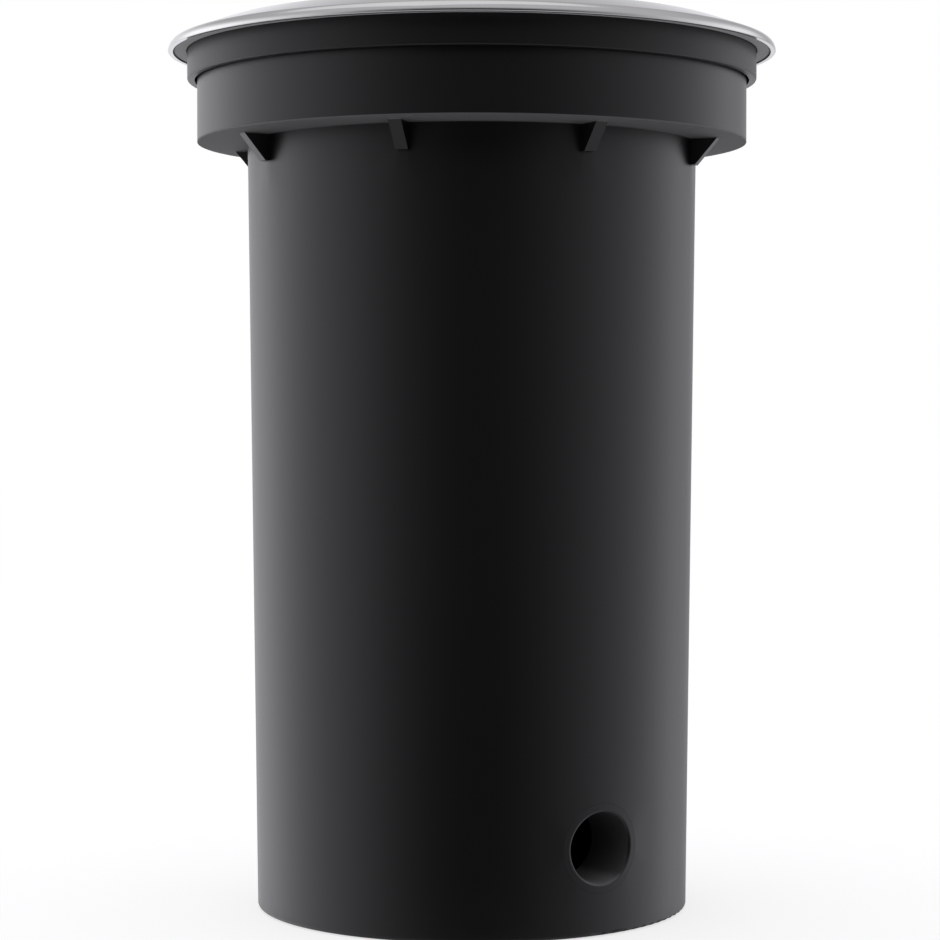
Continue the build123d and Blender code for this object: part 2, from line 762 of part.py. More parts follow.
# ---------------------------------------------------------------- aiming ring
aiming_outer = can_bore - slide_clearance
aiming_opening = aiming_outer - aiming_ring_width
head_radius = aiming_opening - swing_clearance
lug_outer = head_radius + lug_step
ear_inner = lug_outer + pivot_washer_thickness + 2 * rotor_gap
ear_outer = ear_inner + ear_thickness
with BuildPart() as aiming_ring:
    with BuildSketch(Plane.XY.offset(ledge)):
        Circle(aiming_outer)
        Circle(aiming_opening, mode=Mode.SUBTRACT)
        for side in (1, -1):
            with Locations((side * (ear_inner + aiming_opening + ear_thickness) / 2, 0)):
                Rectangle(aiming_opening + ear_thickness - ear_inner, 2 * ear_radius)
        grip_radius = (aiming_opening + aiming_outer - friction_washer_width) / 2
        with PolarLocations(grip_radius, grip_hole_count, start_angle=180 / grip_hole_count):
            Circle(grip_hole_diameter / 2, mode=Mode.SUBTRACT)
    extrude(amount=aiming_ring_thickness)
    for side in (1, -1):
        ear_plane = Plane(origin=(side * ear_inner, 0, 0), x_dir=(0, side, 0), z_dir=(side, 0, 0))
        with BuildSketch(ear_plane):
            with Locations((0, (ledge + pivot_level) / 2)):
                Rectangle(2 * ear_radius, pivot_level - ledge)
            with Locations((0, pivot_level)):
                Circle(ear_radius)
                Circle(shoulder_diameter / 2 + running_clearance, mode=Mode.SUBTRACT)
        extrude(amount=ear_thickness)
aiming_ring.part.label = "aiming_ring"
export_step(aiming_ring.part, "parts/aiming_ring.step")

# ---------------------------------------------------------------- friction washer and snap ring
snap_outer = can_bore + snap_groove_depth - seat_clearance
snap_inner = snap_outer - snap_ring_width
with BuildPart() as friction_washer:
    with BuildSketch(Plane.XY.offset(aiming_top)):
        Circle(can_bore - seat_clearance)
        Circle(can_bore - friction_washer_width, mode=Mode.SUBTRACT)
    extrude(amount=friction_washer_thickness)
friction_washer.part.label = "friction_washer"
export_step(friction_washer.part, "parts/friction_washer.step")

with BuildPart() as snap_ring:
    with BuildSketch(Plane.XY.offset(snap_bottom)):
        Circle(snap_outer)
        Circle(snap_inner, mode=Mode.SUBTRACT)
        gap_reach = 2 * snap_outer * sin(radians(snap_ring_gap_angle / 2))
        with Locations((0, snap_outer)):
            Rectangle(gap_reach, 4 * snap_ring_width, mode=Mode.SUBTRACT)
        lug_centre = snap_outer - snap_lug_radius - 2 * seat_clearance
        with PolarLocations(
            lug_centre, 2, 90 + snap_ring_gap_angle / 2, 360 - snap_ring_gap_angle, endpoint=True
        ):
            Circle(snap_lug_radius)
            Circle(snap_lug_hole / 2, mode=Mode.SUBTRACT)
    extrude(amount=snap_ring_thickness)
snap_ring.part.label = "snap_ring"
export_step(snap_ring.part, "parts/snap_ring.step")

# ---------------------------------------------------------------- heat sink
with BuildPart() as heat_sink:
    with BuildSketch(Plane.XY.offset(head_under)):
        Circle(head_radius)
    extrude(amount=head_plate_thickness)
    with BuildSketch(Plane.XY.offset(head_under)):
        Circle(head_core_radius)
        fin_inner = head_core_radius - head_fin_thickness
        fin_outer = head_radius - lug_step
        with PolarLocations((fin_inner + fin_outer) / 2, head_fin_count, start_angle=180 / head_fin_count):
            Rectangle(fin_outer - fin_inner, head_fin_thickness)
    extrude(amount=-head_fin_depth)
    for side in (1, -1):
        lug_plane = Plane(
            origin=(side * (lug_outer - lug_thickness), 0, 0), x_dir=(0, side, 0), z_dir=(side, 0, 0)
        )
        with BuildSketch(lug_plane):
            with Locations((0, (head_under + pivot_level) / 2)):
                Rectangle(2 * lug_radius, pivot_level - head_under)
            with Locations((0, pivot_level)):
                Circle(lug_radius)
        extrude(amount=lug_thickness)
        with BuildSketch(lug_plane):
            with Locations((0, pivot_level)):
                Circle(pivot_thread_diameter / 2 + thread_gap)
        extrude(amount=lug_thickness, mode=Mode.SUBTRACT)
    with BuildSketch(Plane.XY.offset(head_top)):
        with PolarLocations(holder_screw_radius, 2):
            Circle(holder_screw_diameter / 2 + thread_gap)
    extrude(amount=-head_plate_thickness, mode=Mode.SUBTRACT)
heat_sink.part.label = "heat_sink"
export_step(heat_sink.part, "parts/heat_sink.step")

# ---------------------------------------------------------------- pivot washers and screws
with BuildPart() as pivot_washers:
    for side in (1, -1):
        washer_plane = Plane(
            origin=(side * lug_outer, 0, pivot_level), x_dir=(0, side, 0), z_dir=(side, 0, 0)
        )
        with BuildSketch(washer_plane):
            Circle(pivot_washer_diameter / 2)
            Circle(shoulder_diameter / 2 + running_clearance, mode=Mode.SUBTRACT)
        extrude(amount=pivot_washer_thickness)
pivot_washers.part.label = "pivot_washers"
export_step(pivot_washers.part, "parts/pivot_washers.step")

shoulder_length = ear_outer + rotor_gap - lug_outer
with BuildPart() as pivot_screw:
    with BuildSketch(Plane.XZ):
        with BuildLine():
            Polyline(
                (0, pivot_head_height),
                (pivot_head_diameter / 2, pivot_head_height),
                (pivot_head_diameter / 2, 0),
                (shoulder_diameter / 2, 0),
                (shoulder_diameter / 2, -shoulder_length),
                (pivot_thread_diameter / 2, -shoulder_length),
                (pivot_thread_diameter / 2, -shoulder_length - lug_thickness),
                (0, -shoulder_length - lug_thickness),
                close=True,
            )
        make_face()
    revolve(axis=Axis.Z)
    with BuildSketch(Plane.XY.offset(pivot_head_height)):
        RegularPolygon(pivot_socket / 2, 6, major_radius=False)
    extrude(amount=-pivot_socket_depth, mode=Mode.SUBTRACT)
with BuildPart() as pivot_screws:
    head_seat = ear_outer + rotor_gap
    with Locations(Plane(origin=(head_seat, 0, pivot_level), x_dir=(0, 1, 0), z_dir=(1, 0, 0))):
        add(pivot_screw.part)
    with Locations(Plane(origin=(-head_seat, 0, pivot_level), x_dir=(0, -1, 0), z_dir=(-1, 0, 0))):
        add(pivot_screw.part)
pivot_screws.part.label = "pivot_screws"
export_step(pivot_screws.part, "parts/pivot_screws.step")

# ---------------------------------------------------------------- LED board, emitter and holder
with BuildPart() as led_board:
    with BuildSketch(Plane.XY.offset(head_top)):
        Rectangle(board_side, board_side)
    extrude(amount=board_thickness)
led_board.part.label = "led_board"
export_step(led_board.part, "parts/led_board.step")

with BuildPart() as led_emitter:
    with BuildSketch(Plane.XY.offset(head_top + board_thickness)):
        Circle(emitter_diameter / 2)
    extrude(amount=emitter_height)
    fillet(led_emitter.edges().group_by(Axis.Z)[-1], emitter_height / 2)
led_emitter.part.label = "led_emitter"
export_step(led_emitter.part, "parts/led_emitter.step")

with BuildPart() as led_holder:
    with BuildSketch(Plane.XY.offset(head_top)):
        Circle(holder_diameter / 2)
    extrude(amount=holder_height)
    with BuildSketch(Plane.XY.offset(head_top)):
        Rectangle(board_side + 2 * board_clearance, board_side + 2 * board_clearance)
    extrude(amount=board_thickness + board_clearance, mode=Mode.SUBTRACT)
    with BuildSketch(Plane.XY.offset(head_top)):
        Circle(holder_opening_diameter / 2)
        with PolarLocations(holder_screw_radius, 2):
            Circle(holder_screw_diameter / 2 + screw_clearance)
    extrude(amount=holder_height, mode=Mode.SUBTRACT)
    with BuildSketch(Plane.XY.offset(head_top + holder_height)):
        with PolarLocations(holder_screw_radius, 2):
            Circle(cap_head_ratio * holder_screw_diameter + screw_clearance)
    extrude(amount=-holder_screw_sink, mode=Mode.SUBTRACT)
led_holder.part.label = "led_holder"
export_step(led_holder.part, "parts/led_holder.step")

# ---------------------------------------------------------------- holder screws
with BuildPart() as holder_screw:
    with BuildSketch(Plane.XY):
        Circle(cap_head_ratio * holder_screw_diameter)
    extrude(amount=holder_screw_sink - seat_clearance)
    with BuildSketch(Plane.XY):
        Circle(holder_screw_diameter / 2)
    extrude(amount=-holder_screw_length)
with BuildPart() as holder_screws:
    with Locations((0, 0, head_top + holder_height - holder_screw_sink)):
        with PolarLocations(holder_screw_radius, 2):
            add(holder_screw.part)
holder_screws.part.label = "holder_screws"
export_step(holder_screws.part, "parts/holder_screws.step")

# ---------------------------------------------------------------- lamp barrel
barrel_outer = lug_outer - lug_thickness - lug_gap
barrel_inner = barrel_outer - barrel_wall
barrel_foot_inner = holder_diameter / 2 + barrel_foot_gap
with BuildPart() as lamp_barrel:
    with BuildSketch(Plane.XZ):
        with BuildLine():
            Polyline(
                (barrel_foot_inner, head_top),
                (barrel_outer, head_top),
                (barrel_outer, barrel_top),
                (barrel_inner, barrel_top),
                (barrel_inner, head_top + barrel_foot_height),
                (barrel_foot_inner, head_top + barrel_foot_height),
                close=True,
            )
        make_face()
    revolve(axis=Axis.Z)
lamp_barrel.part.label = "lamp_barrel"
export_step(lamp_barrel.part, "parts/lamp_barrel.step")

# ---------------------------------------------------------------- reflector
reflector_radius = barrel_inner - seat_clearance
reflector_top = barrel_top - optic_thickness
reflector_foot = head_top + holder_height
with BuildPart() as reflector:
    with BuildSketch(Plane.XZ):
        with BuildLine():
            bowl_rim = reflector_radius - reflector_rim - reflector_wall
            RadiusArc((reflector_throat, reflector_foot), (bowl_rim, reflector_top), -reflector_arc_radius)
            Line((bowl_rim, reflector_top), (reflector_radius, reflector_top))
            Line((reflector_radius, reflector_top), (reflector_radius, reflector_top - reflector_rim))
            Line(
                (reflector_radius, reflector_top - reflector_rim),
                (bowl_rim + reflector_wall, reflector_top - reflector_rim),
            )
            RadiusArc(
                (bowl_rim + reflector_wall, reflector_top - reflector_rim),
                (reflector_throat + reflector_wall, reflector_foot),
                reflector_arc_radius,
            )
            Line((reflector_throat + reflector_wall, reflector_foot), (reflector_throat, reflector_foot))
        make_face()
    revolve(axis=Axis.Z)
reflector.part.label = "reflector"
export_step(reflector.part, "parts/reflector.step")

# ---------------------------------------------------------------- optic lens and bezel
with BuildPart() as optic_lens:
    with BuildSketch(Plane.XY.offset(reflector_top)):
        Circle(reflector_radius)
    extrude(amount=optic_thickness)
optic_lens.part.label = "optic_lens"
export_step(optic_lens.part, "parts/optic_lens.step")

bezel_inner = barrel_outer + seat_clearance
bezel_outer = bezel_inner + bezel_wall
with BuildPart() as lens_bezel:
    with BuildSketch(Plane.XZ) as bezel_section:
        with BuildLine():
            Polyline(
                (bezel_inner, barrel_top - bezel_skirt),
                (bezel_outer, barrel_top - bezel_skirt),
                (bezel_outer, barrel_top + bezel_plate),
                (barrel_inner - bezel_lap, barrel_top + bezel_plate),
                (barrel_inner - bezel_lap, barrel_top),
                (bezel_inner, barrel_top),
                close=True,
            )
        make_face()
        chamfer(bezel_section.vertices().group_by(Axis.Y)[-1], bezel_chamfer)
    revolve(axis=Axis.Z)
lens_bezel.part.label = "lens_bezel"
export_step(lens_bezel.part, "parts/lens_bezel.step")

# ---------------------------------------------------------------- driver
driver_bottom = can_inside + driver_rise
driver_plane = Plane(origin=(0, driver_offset, driver_bottom))
with BuildPart() as driver_case:
    with BuildSketch(driver_plane):
        RectangleRounded(driver_length, driver_width, driver_corner_radius)
    extrude(amount=driver_height)
    with BuildSketch(driver_plane):
        RectangleRounded(driver_length + 2 * driver_tab_length, driver_tab_width, driver_corner_radius)
    extrude(amount=driver_tab_thickness)
    with BuildSketch(driver_plane):
        with GridLocations(driver_length + driver_tab_length, 0, 2, 1):
            Circle(driver_screw_diameter / 2 + screw_clearance)
    extrude(amount=driver_tab_thickness, mode=Mode.SUBTRACT)
    with BuildSketch(driver_plane.offset(driver_tab_thickness)):
        with GridLocations(driver_rib_pitch, driver_width, driver_rib_count, 2):
            Rectangle(driver_rib_width, 2 * driver_rib_depth)
    extrude(amount=driver_height, mode=Mode.SUBTRACT)
driver_case.part.label = "driver_case"
export_step(driver_case.part, "parts/driver_case.step")

with BuildPart() as driver_lid:
    with BuildSketch(driver_plane.offset(driver_height)):
        RectangleRounded(driver_length, driver_width, driver_corner_radius)
    extrude(amount=driver_lid_thickness)
    chamfer(driver_lid.faces().sort_by(Axis.Z)[-1].edges(), driver_lid_chamfer)
driver_lid.part.label = "driver_lid"
export_step(driver_lid.part, "parts/driver_lid.step")

with BuildPart() as driver_screws:
    with Locations(driver_plane.offset(driver_tab_thickness)):
        with GridLocations(driver_length + driver_tab_length, 0, 2, 1):
            add(cap_screw(driver_screw_diameter, driver_screw_length))
driver_screws.part.label = "driver_screws"
export_step(driver_screws.part, "parts/driver_screws.step")

# ---------------------------------------------------------------- terminal block
terminal_bottom = can_inside + terminal_pad
terminal_plane = Plane(origin=(0, terminal_offset, terminal_bottom))
terminal_top_plane = terminal_plane.offset(terminal_height)
with BuildPart() as terminal_block:
    with BuildSketch(terminal_plane):
        Rectangle(terminal_ways * terminal_pitch, terminal_width)
    extrude(amount=terminal_height)
    with BuildSketch(terminal_top_plane):
        with GridLocations(terminal_pitch, 0, terminal_ways, 1):
            Circle(terminal_well_diameter / 2)
    extrude(amount=-terminal_well_depth, mode=Mode.SUBTRACT)
    entry_level = terminal_bottom + terminal_entry_height
    entry_plane = Plane(origin=(0, terminal_offset, entry_level), x_dir=(1, 0, 0), z_dir=(0, -1, 0))
    with BuildSketch(entry_plane):
        with GridLocations(terminal_pitch, 0, terminal_ways, 1):
            Circle(terminal_entry_diameter / 2)
    extrude(amount=terminal_width, both=True, mode=Mode.SUBTRACT)
    with BuildSketch(terminal_top_plane):
        with GridLocations(terminal_pitch, 0, terminal_ways - 1, 1):
            Circle(terminal_fixing_diameter / 2 + screw_clearance / 2)
    extrude(amount=-terminal_height, mode=Mode.SUBTRACT)
    with BuildSketch(terminal_top_plane):
        with GridLocations(terminal_pitch, 0, terminal_ways - 1, 1):
            Circle(cap_head_ratio * terminal_fixing_diameter + screw_clearance / 2)
    extrude(amount=-terminal_fixing_sink, mode=Mode.SUBTRACT)
terminal_block.part.label = "terminal_block"
export_step(terminal_block.part, "parts/terminal_block.step")

with BuildPart() as terminal_screws:
    with BuildSketch(terminal_top_plane.offset(-terminal_well_depth)):
        with GridLocations(terminal_pitch, 0, terminal_ways, 1):
            Circle(terminal_screw_diameter / 2)
    extrude(amount=terminal_screw_length)
    with BuildSketch(terminal_top_plane.offset(terminal_screw_length - terminal_well_depth)):
        with GridLocations(terminal_pitch, 0, terminal_ways, 1):
            Rectangle(terminal_screw_diameter, terminal_slot_width)
    extrude(amount=-terminal_slot_depth, mode=Mode.SUBTRACT)
terminal_screws.part.label = "terminal_screws"
export_step(terminal_screws.part, "parts/terminal_screws.step")

with BuildPart() as terminal_fixings:
    with Locations(terminal_top_plane.offset(-terminal_fixing_sink)):
        with GridLocations(terminal_pitch, 0, terminal_ways - 1, 1):
            add(cap_screw(terminal_fixing_diameter, terminal_fixing_length))
terminal_fixings.part.label = "terminal_fixings"
export_step(terminal_fixings.part, "parts/terminal_fixings.step")

# ---------------------------------------------------------------- earth screw and washer
earth_top = can_inside + earth_boss_height
with BuildPart() as earth_washer:
    with BuildSketch(Plane.XY.offset(earth_top)):
        with PolarLocations(earth_radius, 1, start_angle=earth_angle):
            Circle(earth_boss_diameter / 2)
            Circle(earth_screw_diameter / 2 + screw_clearance / 2, mode=Mode.SUBTRACT)
    extrude(amount=earth_washer_thickness)
earth_washer.part.label = "earth_washer"
export_step(earth_washer.part, "parts/earth_washer.step")

with BuildPart() as earth_screw:
    with Locations((0, 0, earth_top + earth_washer_thickness)):
        with PolarLocations(earth_radius, 1, start_angle=earth_angle):
            add(cap_screw(earth_screw_diameter, earth_screw_length))
earth_screw.part.label = "earth_screw"
export_step(earth_screw.part, "parts/earth_screw.step")

# ---------------------------------------------------------------- cable gland
gland_shoulder = can_bottom - gland_seal_washer
gland_hex_bottom = gland_shoulder - gland_hex_height
gland_mouth = gland_hex_bottom - gland_neck_height
gland_thread_top = can_inside + locknut_height + gland_thread_proud
with BuildPart() as gland_washer:
    with BuildSketch(Plane.XY.offset(gland_shoulder)):
        Circle(gland_hex / 2)
        Circle(gland_thread_diameter / 2 + seat_clearance, mode=Mode.SUBTRACT)
    extrude(amount=gland_seal_washer)
gland_washer.part.label = "gland_washer"
export_step(gland_washer.part, "parts/gland_washer.step")

with BuildPart() as gland_body:
    with BuildSketch(Plane.XY.offset(gland_hex_bottom)):
        RegularPolygon(gland_hex / 2, 6, major_radius=False)
    extrude(amount=gland_hex_height)
    with BuildSketch(Plane.XY.offset(gland_mouth)):
        Circle(gland_thread_diameter / 2 - seat_clearance)
    extrude(amount=gland_neck_height)
    with BuildSketch(Plane.XY.offset(gland_shoulder)):
        Circle(gland_thread_diameter / 2)
    extrude(amount=gland_thread_top - gland_shoulder)
    with BuildSketch(Plane.XY.offset(gland_mouth)):
        Circle(gland_bore_diameter / 2)
    extrude(amount=gland_thread_top - gland_mouth, mode=Mode.SUBTRACT)
gland_body.part.label = "gland_body"
export_step(gland_body.part, "parts/gland_body.step")

with BuildPart() as gland_locknut:
    with BuildSketch(Plane.XY.offset(can_inside)):
        RegularPolygon(locknut_hex / 2, 6, major_radius=False)
        Circle(gland_thread_diameter / 2 + thread_gap, mode=Mode.SUBTRACT)
    extrude(amount=locknut_height)
gland_locknut.part.label = "gland_locknut"
export_step(gland_locknut.part, "parts/gland_locknut.step")

cap_bottom = gland_hex_bottom - seat_clearance - cap_height
seal_radius = gland_thread_diameter / 2 - seat_clearance
with BuildPart() as gland_seal:
    with BuildSketch(Plane.XZ):
        with BuildLine():
            Polyline(
                (seal_bore_diameter / 2, cap_bottom + cap_wall),
                (seal_radius - seal_taper, cap_bottom + cap_wall),
                (seal_radius, gland_mouth),
                (seal_bore_diameter / 2, gland_mouth),
                close=True,
            )
        make_face()
    revolve(axis=Axis.Z)
gland_seal.part.label = "gland_seal"
export_step(gland_seal.part, "parts/gland_seal.step")

with BuildPart() as gland_cap:
    with BuildSketch(Plane.XY.offset(cap_bottom)):
        RegularPolygon(gland_hex / 2, 6, major_radius=False)
    extrude(amount=cap_height)
    cone_rise = (gland_hex / 2 + cap_chamfer) * tan(radians(cap_chamfer_angle))
    with BuildSketch(Plane.XZ):
        with BuildLine():
            Polyline(
                (gland_hex / 2 - cap_chamfer, cap_bottom),
                (gland_hex, cap_bottom),
                (gland_hex, cap_bottom + cone_rise),
                close=True,
            )
        make_face()
    revolve(axis=Axis.Z, mode=Mode.SUBTRACT)
    with BuildSketch(Plane.XY.offset(cap_bottom + cap_wall)):
        Circle(gland_thread_diameter / 2 + thread_gap)
    extrude(amount=cap_height - cap_wall, mode=Mode.SUBTRACT)
    with BuildSketch(Plane.XY.offset(cap_bottom)):
        Circle(seal_bore_diameter / 2 + screw_clearance)
    extrude(amount=cap_wall, mode=Mode.SUBTRACT)
gland_cap.part.label = "gland_cap"
export_step(gland_cap.part, "parts/gland_cap.step")
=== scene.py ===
# %% [markdown]
# # An in-ground well light, dressed in Blender
# The light is a black moulded sleeve that is buried up to its collar. A cast ring laps over the collar, a
# polished trim lies on that ring and holds a thick glass, and under the glass hangs a lamp that turns and
# tilts. The solids come from the construction model and stay where they are. Blender gives them their
# finishes, makes the pieces that follow a rule, and adds the studio.

# %% Load the construction model
import json
import math

import bpy
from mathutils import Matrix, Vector


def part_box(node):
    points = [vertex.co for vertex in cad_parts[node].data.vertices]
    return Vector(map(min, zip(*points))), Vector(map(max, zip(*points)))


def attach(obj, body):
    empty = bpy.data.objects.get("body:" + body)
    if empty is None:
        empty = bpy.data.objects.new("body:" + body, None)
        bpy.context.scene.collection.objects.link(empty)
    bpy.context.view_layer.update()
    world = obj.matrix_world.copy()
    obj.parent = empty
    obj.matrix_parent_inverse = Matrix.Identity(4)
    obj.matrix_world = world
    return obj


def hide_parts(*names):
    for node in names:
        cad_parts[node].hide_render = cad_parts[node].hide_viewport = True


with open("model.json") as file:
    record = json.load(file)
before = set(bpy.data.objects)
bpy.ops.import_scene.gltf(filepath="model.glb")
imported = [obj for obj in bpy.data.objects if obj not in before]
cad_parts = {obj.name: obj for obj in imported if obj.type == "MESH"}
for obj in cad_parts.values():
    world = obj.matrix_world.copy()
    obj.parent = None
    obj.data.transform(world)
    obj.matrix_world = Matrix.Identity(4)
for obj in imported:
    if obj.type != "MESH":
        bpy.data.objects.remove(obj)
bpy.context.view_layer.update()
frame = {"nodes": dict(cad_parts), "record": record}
scene = bpy.context.scene
scene.view_settings.view_transform = "Standard"
mm = 0.001

# %% [markdown]
# ## The camera
# The picture is taken from a little over half the light's height, so the trim is seen almost edge-on and
# the tube's sides run nearly parallel. A long lens from about 0.9 m gives that. The aim is a point on the
# upright axis, moved half a millimetre to the left, because the light stands slightly right of the middle.

# %% Camera
view_from = Vector((-0.50013, -0.72222, 0.1625))
look_at = Vector((-0.00049, 0.00034, 0.1438))
focal_length, sensor_width = 101.3, 36.0
camera_data = bpy.data.cameras.new("camera")
camera_data.lens, camera_data.sensor_width = focal_length, sensor_width
camera = bpy.data.objects.new("camera", camera_data)
camera.location = view_from
camera.rotation_euler = (look_at - view_from).to_track_quat("-Z", "Y").to_euler()
scene.collection.objects.link(camera)
scene.camera = camera
to_camera = Vector((view_from.x, view_from.y, 0)).normalized()
to_left = Vector((to_camera.y, -to_camera.x, 0))
print("camera distance in m", round((look_at - view_from).length, 3))

# %% [markdown]
# ## Writing node trees as sums
# A node tree made by hand is hard to read in a script. `Wire` holds one output socket, and adding or
# multiplying wires adds Math nodes. `Graph.node` makes any other node: its settings come first, because
# they decide which sockets it has, and then the values or wires of its inputs. Both work for materials,
# for the world and for Geometry Nodes.

# %% Wires
def pick(sockets, key):
    """A socket by its place, its identifier or its name."""
    if isinstance(key, int):
        return sockets[key]
    return next(s for s in sockets if s.enabled and key in (s.identifier, s.name))


class Wire:
    """One output socket, which can stand in a sum."""

    def __init__(self, graph, socket):
        self.graph, self.socket = graph, socket

    def maths(self, operation, *values):
        return self.graph.node("ShaderNodeMath", dict(enumerate(values)), operation=operation)

    def __add__(self, other):
        return self.maths("ADD", self, other)

    def __sub__(self, other):
        return self.maths("SUBTRACT", self, other)

    def __rsub__(self, other):
        return self.maths("SUBTRACT", other, self)

    def __mul__(self, other):
        return self.maths("MULTIPLY", self, other)

    def __truediv__(self, other):
        return self.maths("DIVIDE", self, other)

    __radd__, __rmul__ = __add__, __mul__

    def also(self, name):
        """Another output of the same node."""
        return Wire(self.graph, pick(self.socket.node.outputs, name))


# %% Graphs
class Graph:
    """A node tree to which nodes are added one expression at a time."""

    def __init__(self, tree):
        self.tree = tree

    def node(self, kind, inputs=(), output=0, stops=(), **settings):
        """Adds a node: its settings, its ramp stops, then its inputs; gives one output."""
        made = self.tree.nodes.new(kind)
        for name, value in settings.items():
            setattr(made, name, value)
        for index, (place, grey) in enumerate(stops):
            elements = made.color_ramp.elements
            while index == 0 and len(elements) > 1:
                elements.remove(elements[-1])
            stop = elements[0] if index == 0 else elements.new(place)
            stop.position, stop.color = place, (grey, grey, grey, 1.0)
        for name, value in dict(inputs).items():
            socket = pick(made.inputs, name)
            if isinstance(value, Wire):
                self.tree.links.new(value.socket, socket)
            else:
                socket.default_value = value
        return Wire(self, pick(made.outputs, output)) if made.outputs else None

    def ramp(self, value, *stops):
        """A grey that follows (place, grey) stops."""
        return self.node("ShaderNodeValToRGB", {"Fac": value}, stops=stops)


# %% [markdown]
# ## A base class for the finishes
# Every finish on this light is noise of some size: the grain of a mould, the peel of a powder coat, the
# lines of a lathe. `Finish` gives these patterns in metres on Object coordinates, so that they keep their
# real scale on every piece. The pattern is mixed into colour and roughness and raised as a fine bump.

# %% Finish
finishes = {}


def rgba(colour):
    return colour if isinstance(colour, Wire) else (*colour, 1.0)


class Finish(Graph):
    """A material that ends in one Principled shader."""

    def __init__(self, slot):
        self.slot = slot
        self.material = bpy.data.materials.new(slot + "_finish")
        self.material.use_nodes = True
        self.material.node_tree.nodes.clear()
        super().__init__(self.material.node_tree)
        self.place = self.node("ShaderNodeTexCoord", output="Object")

    def noise(self, size, detail=2.0, stretch=(1, 1, 1)):
        """Soft blotches about size across, longer along an axis whose stretch is under 1."""
        scaled = {0: self.place, 1: tuple(s / size for s in stretch)}
        place = self.node("ShaderNodeVectorMath", scaled, operation="MULTIPLY")
        return self.node("ShaderNodeTexNoise", {"Vector": place, "Scale": 1.0, "Detail": detail}, "Fac")

    def coordinate(self, axis):
        """How far along X, Y or Z a point lies."""
        return self.node("ShaderNodeSeparateXYZ", {0: self.place}, axis)

    def radius(self):
        """How far from the upright axis a point lies."""
        flat = self.node("ShaderNodeVectorMath", {0: self.place, 1: (1, 1, 0)}, operation="MULTIPLY")
        return self.node("ShaderNodeVectorMath", {0: flat}, "Value", operation="LENGTH")

    def lines(self, along, pitch, detail=2.0):
        """Noise along one measure only, as a lathe or a brush leaves it."""
        inputs = {"W": along / pitch, "Scale": 1.0, "Detail": detail}
        return self.node("ShaderNodeTexNoise", inputs, "Fac", noise_dimensions="1D")

    def cells(self, size, feature="F1"):
        """Distance from the nearest of many points about size apart."""
        inputs = {"Vector": self.place, "Scale": 1.0 / size}
        return self.node("ShaderNodeTexVoronoi", inputs, "Distance", feature=feature)

    def mix(self, share, first, second):
        inputs = {"Factor_Float": share, "A_Color": rgba(first), "B_Color": rgba(second)}
        return self.node("ShaderNodeMix", inputs, "Result_Color", data_type="RGBA")

    def bump(self, pattern, depth):
        inputs = {"Height": pattern, "Distance": depth, "Strength": 1.0}
        return self.node("ShaderNodeBump", inputs, "Normal")

    def surface(self, **sockets):
        """Closes the tree; an underscore stands for the space in a socket's name."""
        named = {name.replace("_", " "): value for name, value in sockets.items()}
        shader = self.node("ShaderNodeBsdfPrincipled", named)
        self.node("ShaderNodeOutputMaterial", {"Surface": shader})
        finishes[self.slot] = self.material
        print(self.slot, "nodes", len(self.tree.nodes))


# %% [markdown]
# ## The studio light
# A black satin tube shows little colour of its own: what is seen on it is the room. In the picture it is
# dark in the middle and grows steadily lighter to both sides, at every height alike, so the room is dark
# behind the camera and white at the sides and behind the light. The world is written as that room: one
# ramp of brightness round the horizon, a pale ceiling and a pale table straight below. The two lists hold
# the ramp's stops, each an angle in degrees from the camera's side of the room and a brightness. The
# room's light is a little cool, which gives the black its faint violet cast, and the world is plain white
# where the camera looks past the light.

# %% World
around_left = ((0, 0.02), (20, 0.06), (42, 0.3), (63, 0.74), (86, 1.1), (106, 1.5), (130, 1.7), (148, 1.2))
around_right = (
    (20, 0.04), (40, 0.18), (62, 0.42), (87, 0.8), (106, 1.1), (117, 1.3), (131, 1.2), (149, 0.6)
)
at_back = 1.25
ceiling = 0.6
table = 0.5
brightest = 1.7
cool = (0.995, 0.985, 1.03)

world = bpy.data.worlds.new("studio")
scene.world = world
world.use_nodes = True
world.node_tree.nodes.clear()
room = Graph(world.node_tree)
look = room.node("ShaderNodeTexCoord", output="Generated")
leftward = room.node("ShaderNodeVectorMath", {0: look, 1: to_left}, "Value", operation="DOT_PRODUCT")
forward = room.node("ShaderNodeVectorMath", {0: look, 1: to_camera}, "Value", operation="DOT_PRODUCT")
turn = leftward.maths("ARCTAN2", leftward, forward) / math.tau + 0.5
stops = [(0.5 - a / 360, v / brightest) for a, v in reversed(around_right)]
stops += [(0.5 + a / 360, v / brightest) for a, v in around_left]
stops = [(0.0, at_back / brightest)] + stops + [(1.0, at_back / brightest)]
walls = room.ramp(turn, *stops) * brightest
upward = room.node("ShaderNodeSeparateXYZ", {0: look}, "Z")
ceiling_range = {"Value": upward, "From Min": 0.25, "From Max": 0.6}
table_range = {"Value": upward, "From Min": -0.45, "From Max": -0.8}
overhead = room.node("ShaderNodeMapRange", ceiling_range, interpolation_type="SMOOTHSTEP")
underfoot = room.node("ShaderNodeMapRange", table_range, interpolation_type="SMOOTHSTEP")
light = walls * (1 - overhead - underfoot) + overhead * ceiling + underfoot * table
ray = room.node("ShaderNodeLightPath", output="Is Camera Ray")
plain = ray + ray.also("Is Transmission Ray")
parts = {axis: plain + (1 - plain) * share for axis, share in zip("XYZ", cool)}
tint = room.node("ShaderNodeCombineXYZ", parts)
background = room.node("ShaderNodeBackground", {"Color": tint, "Strength": plain + light * (1 - plain)})
room.node("ShaderNodeOutputWorld", {"Surface": background})
print("ramp stops", len(stops))

# %% [markdown]
# ## Softbox and floor
# One wide softbox overhead gives the light a gentle shadow. The floor is white paper: part of its
# brightness is its own for the camera, so that it ends up white, and the rest is lit, which keeps the
# shadow. Mirror rays pass it and see the room, as they would over a dark table.

